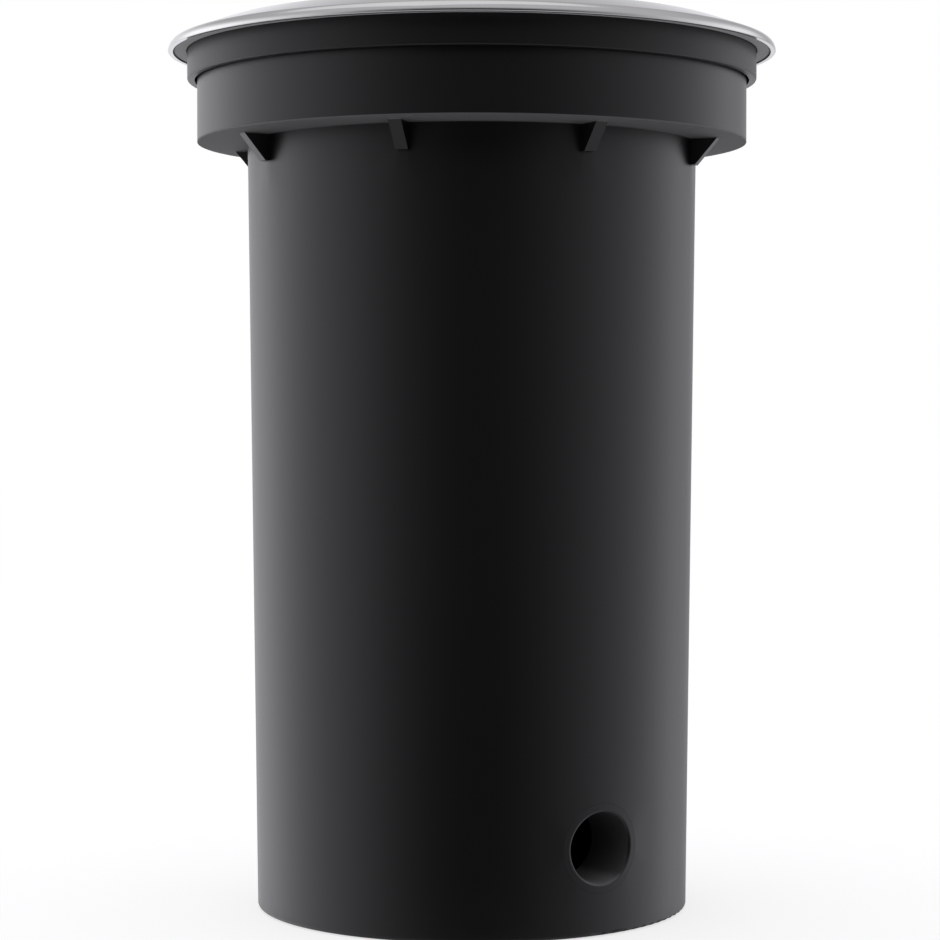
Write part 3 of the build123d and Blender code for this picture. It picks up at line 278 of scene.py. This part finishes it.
# %% Softbox
softbox_side, softbox_level = 1.1, 0.35
softbox_place = (-0.15, 0.1, 1.3)
softbox_data = bpy.data.lights.new("softbox", "AREA")
softbox_data.shape, softbox_data.size = "SQUARE", softbox_side
softbox_data.energy = math.pi * softbox_side**2 * softbox_level
softbox = bpy.data.objects.new("softbox", softbox_data)
softbox.location = softbox_place
scene.collection.objects.link(softbox)
print("softbox power in W", round(softbox_data.energy, 2))

# %% Floor
floor_reach, floor_level = 8.0, -0.3 * mm
quarters = ((-1, -1), (1, -1), (1, 1), (-1, 1))
corners = [(x * floor_reach, y * floor_reach, floor_level) for x, y in quarters]
floor_mesh = bpy.data.meshes.new("floor")
floor_mesh.from_pydata(corners, [], [(0, 1, 2, 3)])
floor = bpy.data.objects.new("floor", floor_mesh)
scene.collection.objects.link(floor)

own_light = 0.69
paper = Finish("floor_paper")
ray = paper.node("ShaderNodeLightPath", output="Is Camera Ray")
seen = ray + ray.also("Is Transmission Ray")
fibre = paper.noise(30 * mm) * 0.02 + 0.49
lit = paper.node("ShaderNodeBsdfDiffuse", {"Color": paper.mix(fibre, (0.1, 0.1, 0.1), (0.9, 0.9, 0.9))})
own = paper.node("ShaderNodeEmission", {"Color": (1, 1, 1, 1), "Strength": seen * own_light})
both = paper.node("ShaderNodeAddShader", {0: lit, 1: own})
passed = paper.node("ShaderNodeBsdfTransparent")
shown = paper.node("ShaderNodeMixShader", {"Fac": ray.also("Is Glossy Ray"), 1: both, 2: passed})
paper.node("ShaderNodeOutputMaterial", {"Surface": shown})
floor_mesh.materials.append(paper.material)
print("floor side in m", 2 * floor_reach, "paper nodes", len(paper.tree.nodes))

# %% [markdown]
# ## Moulded black composite
# The sleeve and its conduit hub are one dark glass-filled plastic with a satin skin. The skin is not quite
# even: the melt leaves faint upright flow marks, the mould has a very fine grain, and soil and gravel rub
# the foot a little duller. The collar's underside and the inside of the conduit hole come from unpolished
# parts of the mould, so they are rougher; their paler colour is painted light, standing in for the light
# that falls on them from the floor and the room. The lower edge of that hole has a painted highlight.
# Masks of height and radius find these places: each ramp is 1 inside its zone and 0 outside. Elsewhere
# the base colour stays near black, because the brightness comes from the room.

# %% Black composite
foot_height = 20 * mm
collar_underside, seat_depth = 251.2 * mm, 1.2 * mm
collar_reach = 100 * mm
hub_level, hub_bore, hub_side = 27.4 * mm, 22.1 * mm, -40 * mm

skin = Finish("black_composite")
flow = skin.noise(45 * mm, detail=3.0, stretch=(1, 1, 0.25))
grain = skin.noise(0.5 * mm, detail=1.0)
level = skin.coordinate("Z")
rub = skin.ramp(level / foot_height, (0.0, 1.0), (0.25, 0.35), (1.0, 0.0)) * skin.noise(4 * mm, detail=4.0)
seat = skin.ramp((level - collar_underside) / seat_depth, (0.0, 0.0), (0.1, 1.0), (0.6, 1.0), (0.7, 0.0))
under = skin.ramp(skin.radius() / collar_reach, (0.72, 0.0), (0.745, 1.0), (0.9, 1.0), (0.91, 0.3))
# The collar's underside: rougher, and made paler as painted light, standing in for light from the floor
# below.
underside_roughness_and_painted_light = seat * under

from_hub = skin.node("ShaderNodeVectorMath", {0: skin.place, 1: (0, 0, -hub_level)}, operation="ADD")
upright = skin.node("ShaderNodeVectorMath", {0: from_hub, 1: (1, 0, 1)}, operation="MULTIPLY")
from_hub_axis = skin.node("ShaderNodeVectorMath", {0: upright}, "Value", operation="LENGTH") / hub_bore
depth = skin.coordinate("Y")
outward = depth.maths("LESS_THAN", depth, hub_side)
# Inside of the conduit hole: rougher, and made paler as painted light on its walls.
bore = skin.ramp(from_hub_axis, (0.0, 1.0), (0.5, 1.0), (0.505, 0.0)) * outward
# Painted highlight: a pale band along the lower edge of the hole, where light catches its rounded lip.
below = skin.ramp((hub_level - level) / hub_bore, (0.38, 0.0), (0.46, 1.0))
hole_edge = skin.ramp(from_hub_axis, (0.45, 0.0), (0.49, 1.0), (0.53, 1.0), (0.54, 0.0))
painted_lip_highlight = hole_edge * below * outward

colour = skin.mix(flow, (0.0042, 0.0041, 0.0047), (0.0066, 0.0064, 0.0074))
colour = skin.mix(rub * 0.5, colour, (0.016, 0.016, 0.016))
skin.surface(
    Base_Color=skin.mix(underside_roughness_and_painted_light + bore * 0.4 + painted_lip_highlight * 0.5, colour, (0.18, 0.18, 0.18)),
    Roughness=0.34 + flow * 0.06 + rub * 0.12 + (underside_roughness_and_painted_light + bore * 0.6) * 0.38,
    IOR=1.5,
    Normal=skin.bump(grain + flow * 6, 0.004 * mm),
)

# %% [markdown]
# ## Powder-coated casting
# The mounting ring and the lamp can are cast aluminium under black powder coat. Such a coat flows as it
# melts and sets with a low orange peel about a millimetre across, and thins on edges. The peel is a bump
# of two noise sizes, and it also breaks up the gloss.

# %% Black casting
coat = Finish("black_casting")
peel = coat.noise(1.1 * mm, detail=1.0)
cloud = coat.noise(30 * mm, detail=3.0)
coat.surface(
    Base_Color=coat.mix(cloud, (0.0045, 0.0045, 0.005), (0.0075, 0.0075, 0.0082)),
    Roughness=0.38 + peel * 0.05 + cloud * 0.05,
    IOR=1.45,
    Normal=coat.bump(peel + coat.noise(3.2 * mm) * 2, 0.006 * mm),
)

# %% [markdown]
# ## Polished stainless steel
# The trim is spun and then polished on a wheel, so what texture it has runs round it. Noise that depends
# only on the radius gives those rings. A little of it goes into roughness and bump, and faint clouds show
# where hands have touched it. A metal's Specular Tint dims it where it is seen at a glancing angle, so the
# rim keeps its outline against a white background.

# %% Polished stainless
polish = Finish("polished_stainless")
rings = polish.lines(polish.radius(), 0.4 * mm, detail=4.0)
touch = polish.noise(20 * mm, detail=4.0)
polish.surface(
    Base_Color=polish.mix(touch, (0.60, 0.60, 0.595), (0.68, 0.675, 0.665)),
    Metallic=1.0,
    Specular_Tint=(0.75, 0.75, 0.75, 1.0),
    Roughness=0.10 + rings * 0.06 + touch * 0.05,
    Anisotropic=0.4,
    Normal=polish.bump(rings, 0.0012 * mm),
)

# %% [markdown]
# ## Screw steel
# Stainless screws come bright from the header, with fine turning marks and small dings from the key. They
# are duller than the trim. The dings are cells of a Voronoi texture, cut off by a ramp so that few remain.

# %% Screw steel
screw = Finish("screw_steel")
marks = screw.noise(0.4 * mm, detail=3.0)
dings = screw.ramp(screw.cells(1.6 * mm), (0.0, 1.0), (0.16, 0.0))
screw.surface(
    Base_Color=screw.mix(marks, (0.46, 0.46, 0.46), (0.6, 0.6, 0.59)),
    Metallic=1.0,
    Roughness=0.2 + marks * 0.12 + dings * 0.2,
    Normal=screw.bump(marks - dings * 2, 0.008 * mm),
)

# %% [markdown]
# ## Toughened glass
# Eight millimetres of soda-lime glass: clear, a touch green, with a refractive index of 1.52. New glass
# shows almost nothing, so the only texture is a faint film left by wiping, in long arcs of slightly
# higher roughness.

# %% Toughened glass
glass = Finish("toughened_glass")
wiped = glass.noise(6 * mm, detail=3.0, stretch=(0.15, 1, 1)) * glass.noise(50 * mm)
glass.surface(
    Base_Color=glass.mix(glass.noise(30 * mm), (0.94, 0.985, 0.965), (0.955, 0.99, 0.975)),
    Roughness=wiped * 0.05,
    Transmission_Weight=1.0,
    IOR=1.52,
)

# %% [markdown]
# ## Sealing rubber
# Gaskets, O-ring and gland seal are moulded rubber, dull and dark grey-black, with a slight bloom of wax
# that comes to the surface in patches. The foam seal under the trim's lip is painted pale, with dark edges:
# the pale colour is a painted reflection of the floor's light under the lip. No other rubber lies that far
# out, so a ramp of the radius is enough to find it.

# %% Sealing rubber
foam_reach = 100 * mm
rubber = Finish("sealing_rubber")
bloom = rubber.noise(8 * mm, detail=4.0)
# Painted reflection: the seal under the lip is made pale, standing in for the floor's light seen there.
painted_seal_reflection = rubber.ramp(rubber.radius() / foam_reach, (0.937, 0.0), (0.939, 1.0), (0.978, 1.0), (0.98, 0.0))
colour = rubber.mix(bloom, (0.012, 0.012, 0.012), (0.03, 0.03, 0.029))
rubber.surface(
    Base_Color=rubber.mix(painted_seal_reflection, colour, (0.72, 0.72, 0.72)),
    Roughness=0.68 + bloom * 0.18,
    Normal=rubber.bump(rubber.noise(0.4 * mm), 0.01 * mm),
)

# %% [markdown]
# ## Aluminium, bare and black
# The aiming ring is turned and clear anodised, so its lathe lines stay visible. The heat sink, barrel and
# bezel are the same metal dyed black in the anodising bath: still faintly metallic, with the same lines
# under the dye.

# %% Bare aluminium
bare = Finish("bare_aluminium")
rings = bare.lines(bare.radius(), 0.35 * mm, detail=3.0)
haze = bare.noise(12 * mm, detail=3.0)
bare.surface(
    Base_Color=bare.mix(rings, (0.56, 0.57, 0.58), (0.7, 0.71, 0.72)),
    Metallic=1.0,
    Roughness=0.3 + rings * 0.1 + haze * 0.06,
    Normal=bare.bump(rings, 0.004 * mm),
)

# %% Black anodised
dyed = Finish("black_anodised")
rings = dyed.lines(dyed.radius(), 0.3 * mm, detail=3.0)
dye = dyed.noise(10 * mm, detail=3.0)
dyed.surface(
    Base_Color=dyed.mix(dye, (0.016, 0.016, 0.018), (0.03, 0.03, 0.034)),
    Metallic=0.5,
    Roughness=0.34 + rings * 0.1 + dye * 0.05,
    Normal=dyed.bump(rings, 0.004 * mm),
)

# %% [markdown]
# ## Bright aluminium
# The reflector is vacuum-coated and nearly a mirror. Its facets are real geometry, made further on, so the
# finish only needs a trace of haze and pinhole dust.

# %% Bright aluminium
mirror = Finish("bright_aluminium")
haze = mirror.noise(5 * mm, detail=4.0)
dust = mirror.ramp(mirror.cells(1.2 * mm), (0.0, 1.0), (0.08, 0.0))
mirror.surface(
    Base_Color=mirror.mix(haze, (0.86, 0.86, 0.86), (0.93, 0.93, 0.925)),
    Metallic=1.0,
    Roughness=0.05 + haze * 0.06 + dust * 0.25,
    Normal=mirror.bump(haze, 0.003 * mm),
)

# %% [markdown]
# ## The light source
# The board is aluminium under white solder mask, with the copper's edges just showing through. The emitter
# on it is a disc of yellow phosphor in clear silicone over a grid of small chips. The grid is made of two
# sine waves, one along each axis of the board.

# %% Board
board = Finish("board_white")
mask = board.noise(0.9 * mm, detail=2.0)
copper = board.ramp(board.cells(7 * mm, "DISTANCE_TO_EDGE"), (0.05, 1.0), (0.09, 0.0))
board.surface(
    Base_Color=board.mix(copper * 0.5 + mask * 0.2, (0.78, 0.78, 0.76), (0.66, 0.67, 0.62)),
    Roughness=0.3 + mask * 0.1,
    Normal=board.bump(copper + mask * 0.2, 0.03 * mm),
)

# %% Phosphor
phosphor = Finish("phosphor")
chip_pitch = 1.1 * mm
across, along = phosphor.coordinate("X"), phosphor.coordinate("Y")
wave_x = across.maths("SINE", across * (math.tau / chip_pitch))
wave_y = along.maths("SINE", along * (math.tau / chip_pitch))
chips = phosphor.ramp(wave_x * wave_y * 0.5 + 0.5, (0.35, 0.0), (0.65, 1.0))
grit = phosphor.noise(0.3 * mm, detail=3.0)
phosphor.surface(
    Base_Color=phosphor.mix(chips * 0.35 + grit * 0.3, (0.82, 0.6, 0.07), (0.93, 0.78, 0.22)),
    Roughness=0.3 + grit * 0.15,
    Coat_Weight=0.4,
    Normal=phosphor.bump(chips + grit * 0.5, 0.03 * mm),
)

# %% [markdown]
# ## Optic lens
# The spread lens over the reflector is clear acrylic, pressed with a low pebble pattern that blurs the
# chips into an even beam. The pebbles are a Voronoi bump on smooth clear plastic.

# %% Optic lens
optic = Finish("clear_optic")
pebbles = optic.cells(2.4 * mm, "SMOOTH_F1")
optic.surface(
    Base_Color=optic.mix(pebbles, (0.97, 0.975, 0.98), (0.99, 0.99, 0.99)),
    Roughness=0.02 + optic.noise(10 * mm) * 0.03,
    Transmission_Weight=1.0,
    IOR=1.49,
    Normal=optic.bump(pebbles, 0.12 * mm),
)

# %% [markdown]
# ## Small plastics
# Terminal block and emitter holder are ivory polyamide, the driver's case is grey, and the washers are
# acetal, which is smoother and waxy. They share one recipe and differ in colour, gloss and the size of
# their moulded grain, so one function makes all three.

# %% Small plastics
def moulded(name, dark, pale, gloss, grain_size, depth):
    plastic = Finish(name)
    grain = plastic.noise(grain_size, detail=2.0)
    flow = plastic.noise(15 * mm, detail=3.0)
    plastic.surface(
        Base_Color=plastic.mix(flow * 0.7 + grain * 0.3, dark, pale),
        Roughness=gloss + grain * 0.1,
        IOR=1.53,
        Normal=plastic.bump(grain, depth),
    )


moulded("ivory_plastic", (0.66, 0.64, 0.58), (0.76, 0.75, 0.70), 0.4, 0.6 * mm, 0.012 * mm)
moulded("grey_plastic", (0.2, 0.205, 0.21), (0.27, 0.275, 0.285), 0.48, 0.8 * mm, 0.02 * mm)
moulded("acetal", (0.80, 0.80, 0.77), (0.87, 0.87, 0.84), 0.26, 1.5 * mm, 0.006 * mm)

# %% [markdown]
# ## Small metals
# Brass terminals and earth screw, nickel-plated brass gland, and a snap ring of blackened spring steel.
# They are all turned or ground, with stains that follow handling and damp.

# %% Small metals
def worked(name, dark, pale, gloss, pitch):
    metal = Finish(name)
    lines = metal.lines(metal.coordinate("Z"), pitch, detail=3.0)
    stain = metal.noise(6 * mm, detail=4.0)
    metal.surface(
        Base_Color=metal.mix(stain, dark, pale),
        Metallic=1.0,
        Roughness=gloss + lines * 0.08 + stain * 0.1,
        Normal=metal.bump(lines, 0.005 * mm),
    )


worked("nickel_brass", (0.50, 0.48, 0.43), (0.63, 0.61, 0.56), 0.2, 0.3 * mm)
worked("brass", (0.56, 0.41, 0.17), (0.72, 0.56, 0.26), 0.22, 0.3 * mm)
worked("spring_steel", (0.06, 0.06, 0.062), (0.12, 0.12, 0.125), 0.34, 0.2 * mm)

# %% [markdown]
# ## Finishes on the construction model
# The record says which material each node has. Each node keeps its mesh, which is exact, and its slots get
# the finish of that material.

# %% Dress the nodes
for row in frame["record"]["subparts"]:
    node = frame["nodes"][row["node"]]
    for place in node.material_slots:
        place.material = finishes[row["material_slot"]]

# %% [markdown]
# ## Geometry Nodes helpers
# What repeats on the light is made by Geometry Nodes trees. `new_tree` makes an empty tree with named
# inputs, and `grow` runs a tree with the sizes of one piece and turns the result into a plain mesh, which
# can then ride on a body of the construction model.

# %% Tree helpers
def new_tree(name, **inputs):
    """A tree whose named inputs have the socket kinds given."""
    tree = bpy.data.node_groups.new(name, "GeometryNodeTree")
    for label, kind in inputs.items():
        tree.interface.new_socket(label, in_out="INPUT", socket_type="NodeSocket" + kind)
    tree.interface.new_socket("Geometry", in_out="OUTPUT", socket_type="NodeSocketGeometry")
    return Graph(tree)


def close_tree(graph, geometry, finish):
    """Ends a tree in real geometry with its material."""
    real = graph.node("GeometryNodeRealizeInstances", {"Geometry": geometry})
    dressed = graph.node("GeometryNodeSetMaterial", {"Geometry": real, "Material": finish})
    graph.node("NodeGroupOutput", {"Geometry": dressed})


def grow(name, graph, **values):
    """Runs a tree and returns its result as an object with a plain mesh."""
    piece = bpy.data.objects.new(name, bpy.data.meshes.new(name))
    scene.collection.objects.link(piece)
    modifier = piece.modifiers.new("grow", "NODES")
    modifier.node_group = graph.tree
    for item in graph.tree.interface.items_tree:
        if item.in_out == "INPUT":
            modifier[item.identifier] = values[item.name]
    evaluated = piece.evaluated_get(bpy.context.evaluated_depsgraph_get())
    mesh = bpy.data.meshes.new_from_object(evaluated)
    piece.modifiers.clear()
    piece.data = mesh
    print(name, "faces", len(mesh.polygons))
    return piece


def settle(piece, body, slot, *nodes):
    """Lets a piece ride on a body in place of its nodes."""
    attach(piece, body)
    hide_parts(*nodes)
    piece_top = max(v.co.z for v in piece.data.vertices)
    node_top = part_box(nodes[0])[1][2]
    print(piece.name, "for", nodes, "tops in mm", round(piece_top / mm, 2), round(node_top / mm, 2))


# %% [markdown]
# ## Screws
# A socket screw is round outside and hexagonal inside. It could be cut with a boolean, but stacking rings
# of points is cleaner: each ring has a radius, a level and either a round or a hexagonal outline, and the
# rings are joined into bands, with a fan at each end. Small extra rings round the edges catch the light.
# The same function makes the drill that sinks the trim's screw holes.

# %% Turned bodies
ring_points = 48
sharp_angle = math.radians(32)


def ring(size, level, hexagon=False):
    """A ring of points; a hexagon's size is half the width across its flats."""
    points = []
    for index in range(ring_points):
        angle = index * math.tau / ring_points
        reach = size / math.cos((angle % (math.pi / 3)) - math.pi / 6) if hexagon else size
        points.append((reach * math.cos(angle), reach * math.sin(angle), level))
    return points


def turned(name, rings):
    """A closed body from rings listed from the middle of its top, outwards and down to its tip."""
    first, last = rings[0][0][2], rings[-1][0][2]
    points = [p for one in rings for p in one] + [(0, 0, first), (0, 0, last)]
    top, tip = len(points) - 2, len(points) - 1
    faces = []
    for index in range(ring_points):
        after = (index + 1) % ring_points
        faces.append((top, index, after))
        for row in range(len(rings) - 1):
            a, b = row * ring_points, (row + 1) * ring_points
            faces.append((a + index, b + index, b + after, a + after))
        end = (len(rings) - 1) * ring_points
        faces.append((tip, end + after, end + index))
    mesh = bpy.data.meshes.new(name)
    mesh.from_pydata(points, [], faces)
    mesh.shade_smooth()
    mesh.set_sharp_from_angle(angle=sharp_angle)
    body = bpy.data.objects.new(name, mesh)
    scene.collection.objects.link(body)
    return body


# %% Screw and drill shapes
def cap_screw(name, size, length):
    """Socket cap screw, its head's seat at level 0 and its shank down."""
    head, socket, edge = 0.8 * size, 0.4 * size, 0.08 * size
    return turned(name, [
        ring(socket * 0.55, size * 0.46), ring(socket, size * 0.54, True), ring(socket, size * 0.985, True),
        ring(socket * 1.19, size), ring(head - edge * 1.4, size), ring(head - edge * 0.7, size * 0.97),
        ring(head - edge * 0.15, size * 0.92), ring(head, size * 0.86), ring(head, size * 0.03),
        ring(head * 0.98, 0), ring(size * 0.5, 0), ring(size * 0.5, -length + size * 0.1),
        ring(size * 0.4, -length),
    ])


def flat_screw(name, size, head, length):
    """Countersunk socket screw with its flat top at level 0."""
    socket, depth = 0.3 * size, (head - size) / 2
    return turned(name, [
        ring(socket * 0.5, -size * 0.4), ring(socket, -size * 0.32, True), ring(socket, -size * 0.03, True),
        ring(socket * 1.2, -size * 0.004), ring(head / 2 - size * 0.05, 0),
        ring(head / 2 - size * 0.015, -size * 0.012), ring(head / 2, -size * 0.04), ring(size / 2, -depth),
        ring(size / 2, -length + size * 0.1), ring(size * 0.4, -length),
    ])


def drill(name, sink, hole, above, depth):
    """Cutter for a countersunk hole, from above the plate to under it."""
    return turned(name, [ring(sink + above, above), ring(hole, hole - sink), ring(hole, -depth)])


trim_pattern = flat_screw("trim_screw_pattern", size=5 * mm, head=10 * mm, length=12 * mm)
ring_pattern = cap_screw("ring_screw_pattern", size=5 * mm, length=14 * mm)
can_pattern = cap_screw("can_screw_pattern", size=4 * mm, length=10 * mm)
drill_pattern = drill("drill_pattern", sink=5.1 * mm, hole=2.75 * mm, above=1 * mm, depth=6 * mm)
print("screw faces", len(trim_pattern.data.polygons), len(ring_pattern.data.polygons))

# %% [markdown]
# ## Screws in circles
# The trim, the mounting ring and the lamp can are each held by screws on a circle. One tree sets them
# all, and the drills for the trim's holes too: a mesh circle gives the points, it is turned and lifted to
# its place, and a screw is put on each point. Real screws stop at any angle, so each is turned by a random
# amount, with a fixed seed.

# %% Screw circle tree
circle = new_tree(
    "screw_circle", Screw="Object", Count="Int", Radius="Float", Level="Float", First_angle="Float",
    Flip="Float", Seed="Int", Finish="Material",
)
given = circle.node("NodeGroupInput")
points = circle.node(
    "GeometryNodeMeshCircle", {"Vertices": given.also("Count"), "Radius": given.also("Radius")}
)
lift = circle.node("ShaderNodeCombineXYZ", {"Z": given.also("Level")})
swing = circle.node("ShaderNodeCombineXYZ", {"Z": given.also("First_angle")})
placed = circle.node("GeometryNodeTransform", {"Geometry": points, "Translation": lift, "Rotation": swing})
shape = circle.node("GeometryNodeObjectInfo", {"Object": given}, "Geometry")
turns = {"Max_001": math.tau, "Seed": given.also("Seed")}
stop_angle = circle.node("FunctionNodeRandomValue", turns, "Value_001", data_type="FLOAT")
stance = circle.node("ShaderNodeCombineXYZ", {"X": given.also("Flip"), "Z": stop_angle})
screws = circle.node(
    "GeometryNodeInstanceOnPoints", {"Points": placed, "Instance": shape, "Rotation": stance}
)
close_tree(circle, screws, given.also("Finish"))

# %% Screws on their circles
trim_top, screw_sink = 289.2 * mm, 0.1 * mm
trim_screw_count, trim_pitch_radius = 6, 74.85 * mm
trim_screws = grow(
    "trim_screw_set", circle, Screw=trim_pattern, Count=trim_screw_count, Radius=trim_pitch_radius,
    Level=trim_top - screw_sink, First_angle=0.0, Flip=0.0, Seed=4, Finish=finishes["screw_steel"],
)
ring_screws = grow(
    "ring_screw_set", circle, Screw=ring_pattern, Count=3, Radius=79.15 * mm, Level=280.2 * mm,
    First_angle=math.radians(30), Flip=0.0, Seed=9, Finish=finishes["screw_steel"],
)
can_screws = grow(
    "can_screw_set", circle, Screw=can_pattern, Count=6, Radius=66.4 * mm, Level=263.0 * mm,
    First_angle=math.radians(30), Flip=math.pi, Seed=2, Finish=finishes["screw_steel"],
)
drills = grow(
    "trim_drills", circle, Screw=drill_pattern, Count=trim_screw_count, Radius=trim_pitch_radius,
    Level=trim_top, First_angle=0.0, Flip=0.0, Seed=1, Finish=finishes["polished_stainless"],
)
for pattern in (trim_pattern, ring_pattern, can_pattern, drill_pattern):
    bpy.data.objects.remove(pattern)
settle(trim_screws, "housing", "screw_steel", "trim_screws")
settle(ring_screws, "housing", "screw_steel", "ring_screws")
settle(can_screws, "housing", "screw_steel", "can_screws")

# %% [markdown]
# ## The polished trim
# A mirror shows every flat of a coarse mesh, so the trim is turned again here in 360 steps. Its section
# follows the construction model: a flat plate over the glass, a soft bend into the bevel, a rounded rim
# and a thin lip. `rounded` swaps a corner of the section for an arc, and `hoop` turns a section into a
# closed ring. Then the screw holes are drilled with a boolean.

# %% Turned ring helpers
def rounded(before, corner, after, radius, steps):
    """Points of an arc that touches both sides of a corner."""
    before, corner, after = Vector(before), Vector(corner), Vector(after)
    back, on = (before - corner).normalized(), (after - corner).normalized()
    half = back.angle(on) / 2
    centre = corner + (back + on).normalized() * radius / math.sin(half)
    start = corner + back * radius / math.tan(half) - centre
    turn_by = math.pi - 2 * half
    if back.x * on.y - back.y * on.x > 0:
        turn_by = -turn_by
    points = []
    for index in range(steps + 1):
        angle = turn_by * index / steps
        cosine, sine = math.cos(angle), math.sin(angle)
        arm = Vector((start.x * cosine - start.y * sine, start.x * sine + start.y * cosine))
        points.append(tuple(centre + arm))
    return points


def hoop(name, section, steps):
    """A closed ring from a section of (radius, level) points, listed anticlockwise."""
    count = len(section)
    points, faces = [], []
    for index in range(steps):
        angle = index * math.tau / steps
        points += [(r * math.cos(angle), r * math.sin(angle), z) for r, z in section]
        start, after = index * count, (index + 1) % steps * count
        for k in range(count):
            n = (k + 1) % count
            faces.append((start + k, after + k, after + n, start + n))
    mesh = bpy.data.meshes.new(name)
    mesh.from_pydata(points, [], faces)
    mesh.shade_smooth()
    mesh.set_sharp_from_angle(angle=sharp_angle)
    return mesh


# %% Polished trim
glass_lap = 4 * mm
bevel_width, bevel_bend = 16.4 * mm, 20 * mm
rim_height, rim_bend, lip_width = 2.6 * mm, 3.3 * mm, 1.6 * mm
bevel_plate, land_plate = 2 * mm, 3 * mm
opening_bend, foot_break = 1.2 * mm, 0.2 * mm
gasket_side_gap, gasket_top_gap = 0.2 * mm, 0.05 * mm

trim_low, trim_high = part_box("trim_ring")
gasket_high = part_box("glass_gasket")[1]
crown, foot = trim_high[2], trim_low[2]
edge = min(trim_high[0], trim_high[1], -trim_low[0], -trim_low[1])
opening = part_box("glass_lens")[1][0] - glass_lap
knee, land = edge - bevel_width, crown - land_plate
fall = (crown - foot - rim_height) / (edge - knee)
plate = bevel_plate * math.sqrt(1 + fall**2)
lip = edge - lip_width
step, web = gasket_high[0] + gasket_side_gap, gasket_high[2] + gasket_top_gap
shoulder = (edge, foot + rim_height)
section = [
    (opening, web), (step, web), (step, land), (knee + (crown - plate - land) / fall, land),
    (lip, crown - plate - (lip - knee) * fall), (lip, foot),
    (edge - foot_break, foot), (edge, foot + foot_break),
]
section += rounded((edge, foot), shoulder, (knee, crown), rim_bend, steps=18)
section += rounded(shoulder, (knee, crown), (opening, crown), bevel_bend, steps=24)
section += rounded((knee, crown), (opening, crown), (opening, web), opening_bend, steps=10)

trim = bpy.data.objects.new("trim_plate", hoop("trim_blank", section, steps=360))
scene.collection.objects.link(trim)
trim.data.materials.append(finishes["polished_stainless"])
drilling = trim.modifiers.new("drilling", "BOOLEAN")
drilling.object = drills
drilled = bpy.data.meshes.new_from_object(trim.evaluated_get(bpy.context.evaluated_depsgraph_get()))
trim.modifiers.clear()
trim.data = drilled
drilled.shade_smooth()
drilled.set_sharp_from_angle(angle=sharp_angle)
bpy.data.objects.remove(drills)
settle(trim, "housing", "polished_stainless", "trim_ring")
print("trim faces", len(drilled.polygons), "section points", len(section))

# %% [markdown]
# ## Faceted reflector
# The reflector's bowl is an arc turned round the axis, but its inside is pressed into small flat facets
# that mix the light of the chips. A smooth bowl with a bump would not break the reflections in the same
# way, so the facets are real: a grid is wrapped onto the bowl by a rule, one cell to a facet, shaded flat
# and given a wall.

# %% Faceted bowl tree
bowl = new_tree(
    "faceted_bowl", Around="Int", Rows="Int", Arc="Float", Offset="Float", Centre="Float", Throat="Float",
    Rim="Float", Wall="Float", Finish="Material",
)
given = bowl.node("NodeGroupInput")
grid = bowl.node(
    "GeometryNodeMeshGrid",
    {"Size X": 1.0, "Size Y": 1.0, "Vertices X": given + 1, "Vertices Y": given.also("Rows") + 1},
)
where = bowl.node("ShaderNodeSeparateXYZ", {0: bowl.node("GeometryNodeInputPosition")}, "X")
angle = (where + 0.5) * math.tau
polar = given.also("Throat") + (where.also("Y") + 0.5) * (given.also("Rim") - given.also("Throat"))
reach = given.also("Offset") + given.also("Arc") * polar.maths("SINE", polar)
level = given.also("Centre") - given.also("Arc") * polar.maths("COSINE", polar)
wrapped = bowl.node(
    "ShaderNodeCombineXYZ",
    {"X": reach * angle.maths("COSINE", angle), "Y": reach * angle.maths("SINE", angle), "Z": level},
)
shell = bowl.node("GeometryNodeSetPosition", {"Geometry": grid, "Position": wrapped})
shell = bowl.node("GeometryNodeMergeByDistance", {"Geometry": shell, "Distance": 0.01 * mm})
shell = bowl.node("GeometryNodeSetShadeSmooth", {"Geometry": shell, "Shade Smooth": False})
flipped = bowl.node("GeometryNodeFlipFaces", {"Mesh": shell})
push = {"Mesh": flipped, "Offset Scale": given.also("Wall"), "Individual": False}
outside = bowl.node("GeometryNodeExtrudeMesh", push)
inside = bowl.node("GeometryNodeJoinGeometry", {"Geometry": shell})
bowl.tree.links.new(outside.socket, inside.socket.node.inputs[0])
walled = bowl.node("GeometryNodeMergeByDistance", {"Geometry": inside, "Distance": 0.01 * mm})
close_tree(bowl, walled, given.also("Finish"))

# %% Reflector bowl
bowl_wall = grow(
    "reflector_bowl", bowl, Around=36, Rows=8, Arc=34 * mm, Offset=0.83 * mm, Centre=266.5 * mm,
    Throat=math.radians(14.8), Rim=math.radians(64.8), Wall=0.7 * mm, Finish=finishes["bright_aluminium"],
)

# %% [markdown]
# The bowl hangs by a flat rim that lies on the barrel's top edge. It is one more turned section, and its
# outer edges are broken a little, as on a spun part, so that they catch the light.

# %% Reflector rim
rim_low, rim_top, rim_break = 251.0 * mm, 252.0 * mm, 0.15 * mm
rim_inner = 31.4 * mm
node_low, node_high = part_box("reflector")
rim_edge = node_high[0]
section = [
    (rim_inner, rim_low), (rim_edge - rim_break, rim_low), (rim_edge, rim_low + rim_break),
    (rim_edge, rim_top - rim_break), (rim_edge - rim_break, rim_top), (rim_inner + rim_break, rim_top),
]
rim = bpy.data.objects.new("reflector_rim", hoop("reflector_rim", section, steps=96))
scene.collection.objects.link(rim)
rim.data.materials.append(finishes["bright_aluminium"])
for piece in (bowl_wall, rim):
    settle(piece, "lamp_head", "bright_aluminium", "reflector")
    levels = [v.co.z / mm for v in piece.data.vertices]
    print(piece.name, "levels in mm", round(min(levels), 2), round(max(levels), 2))
print("reflector node levels in mm", round(node_low[2] / mm, 2), round(node_high[2] / mm, 2))
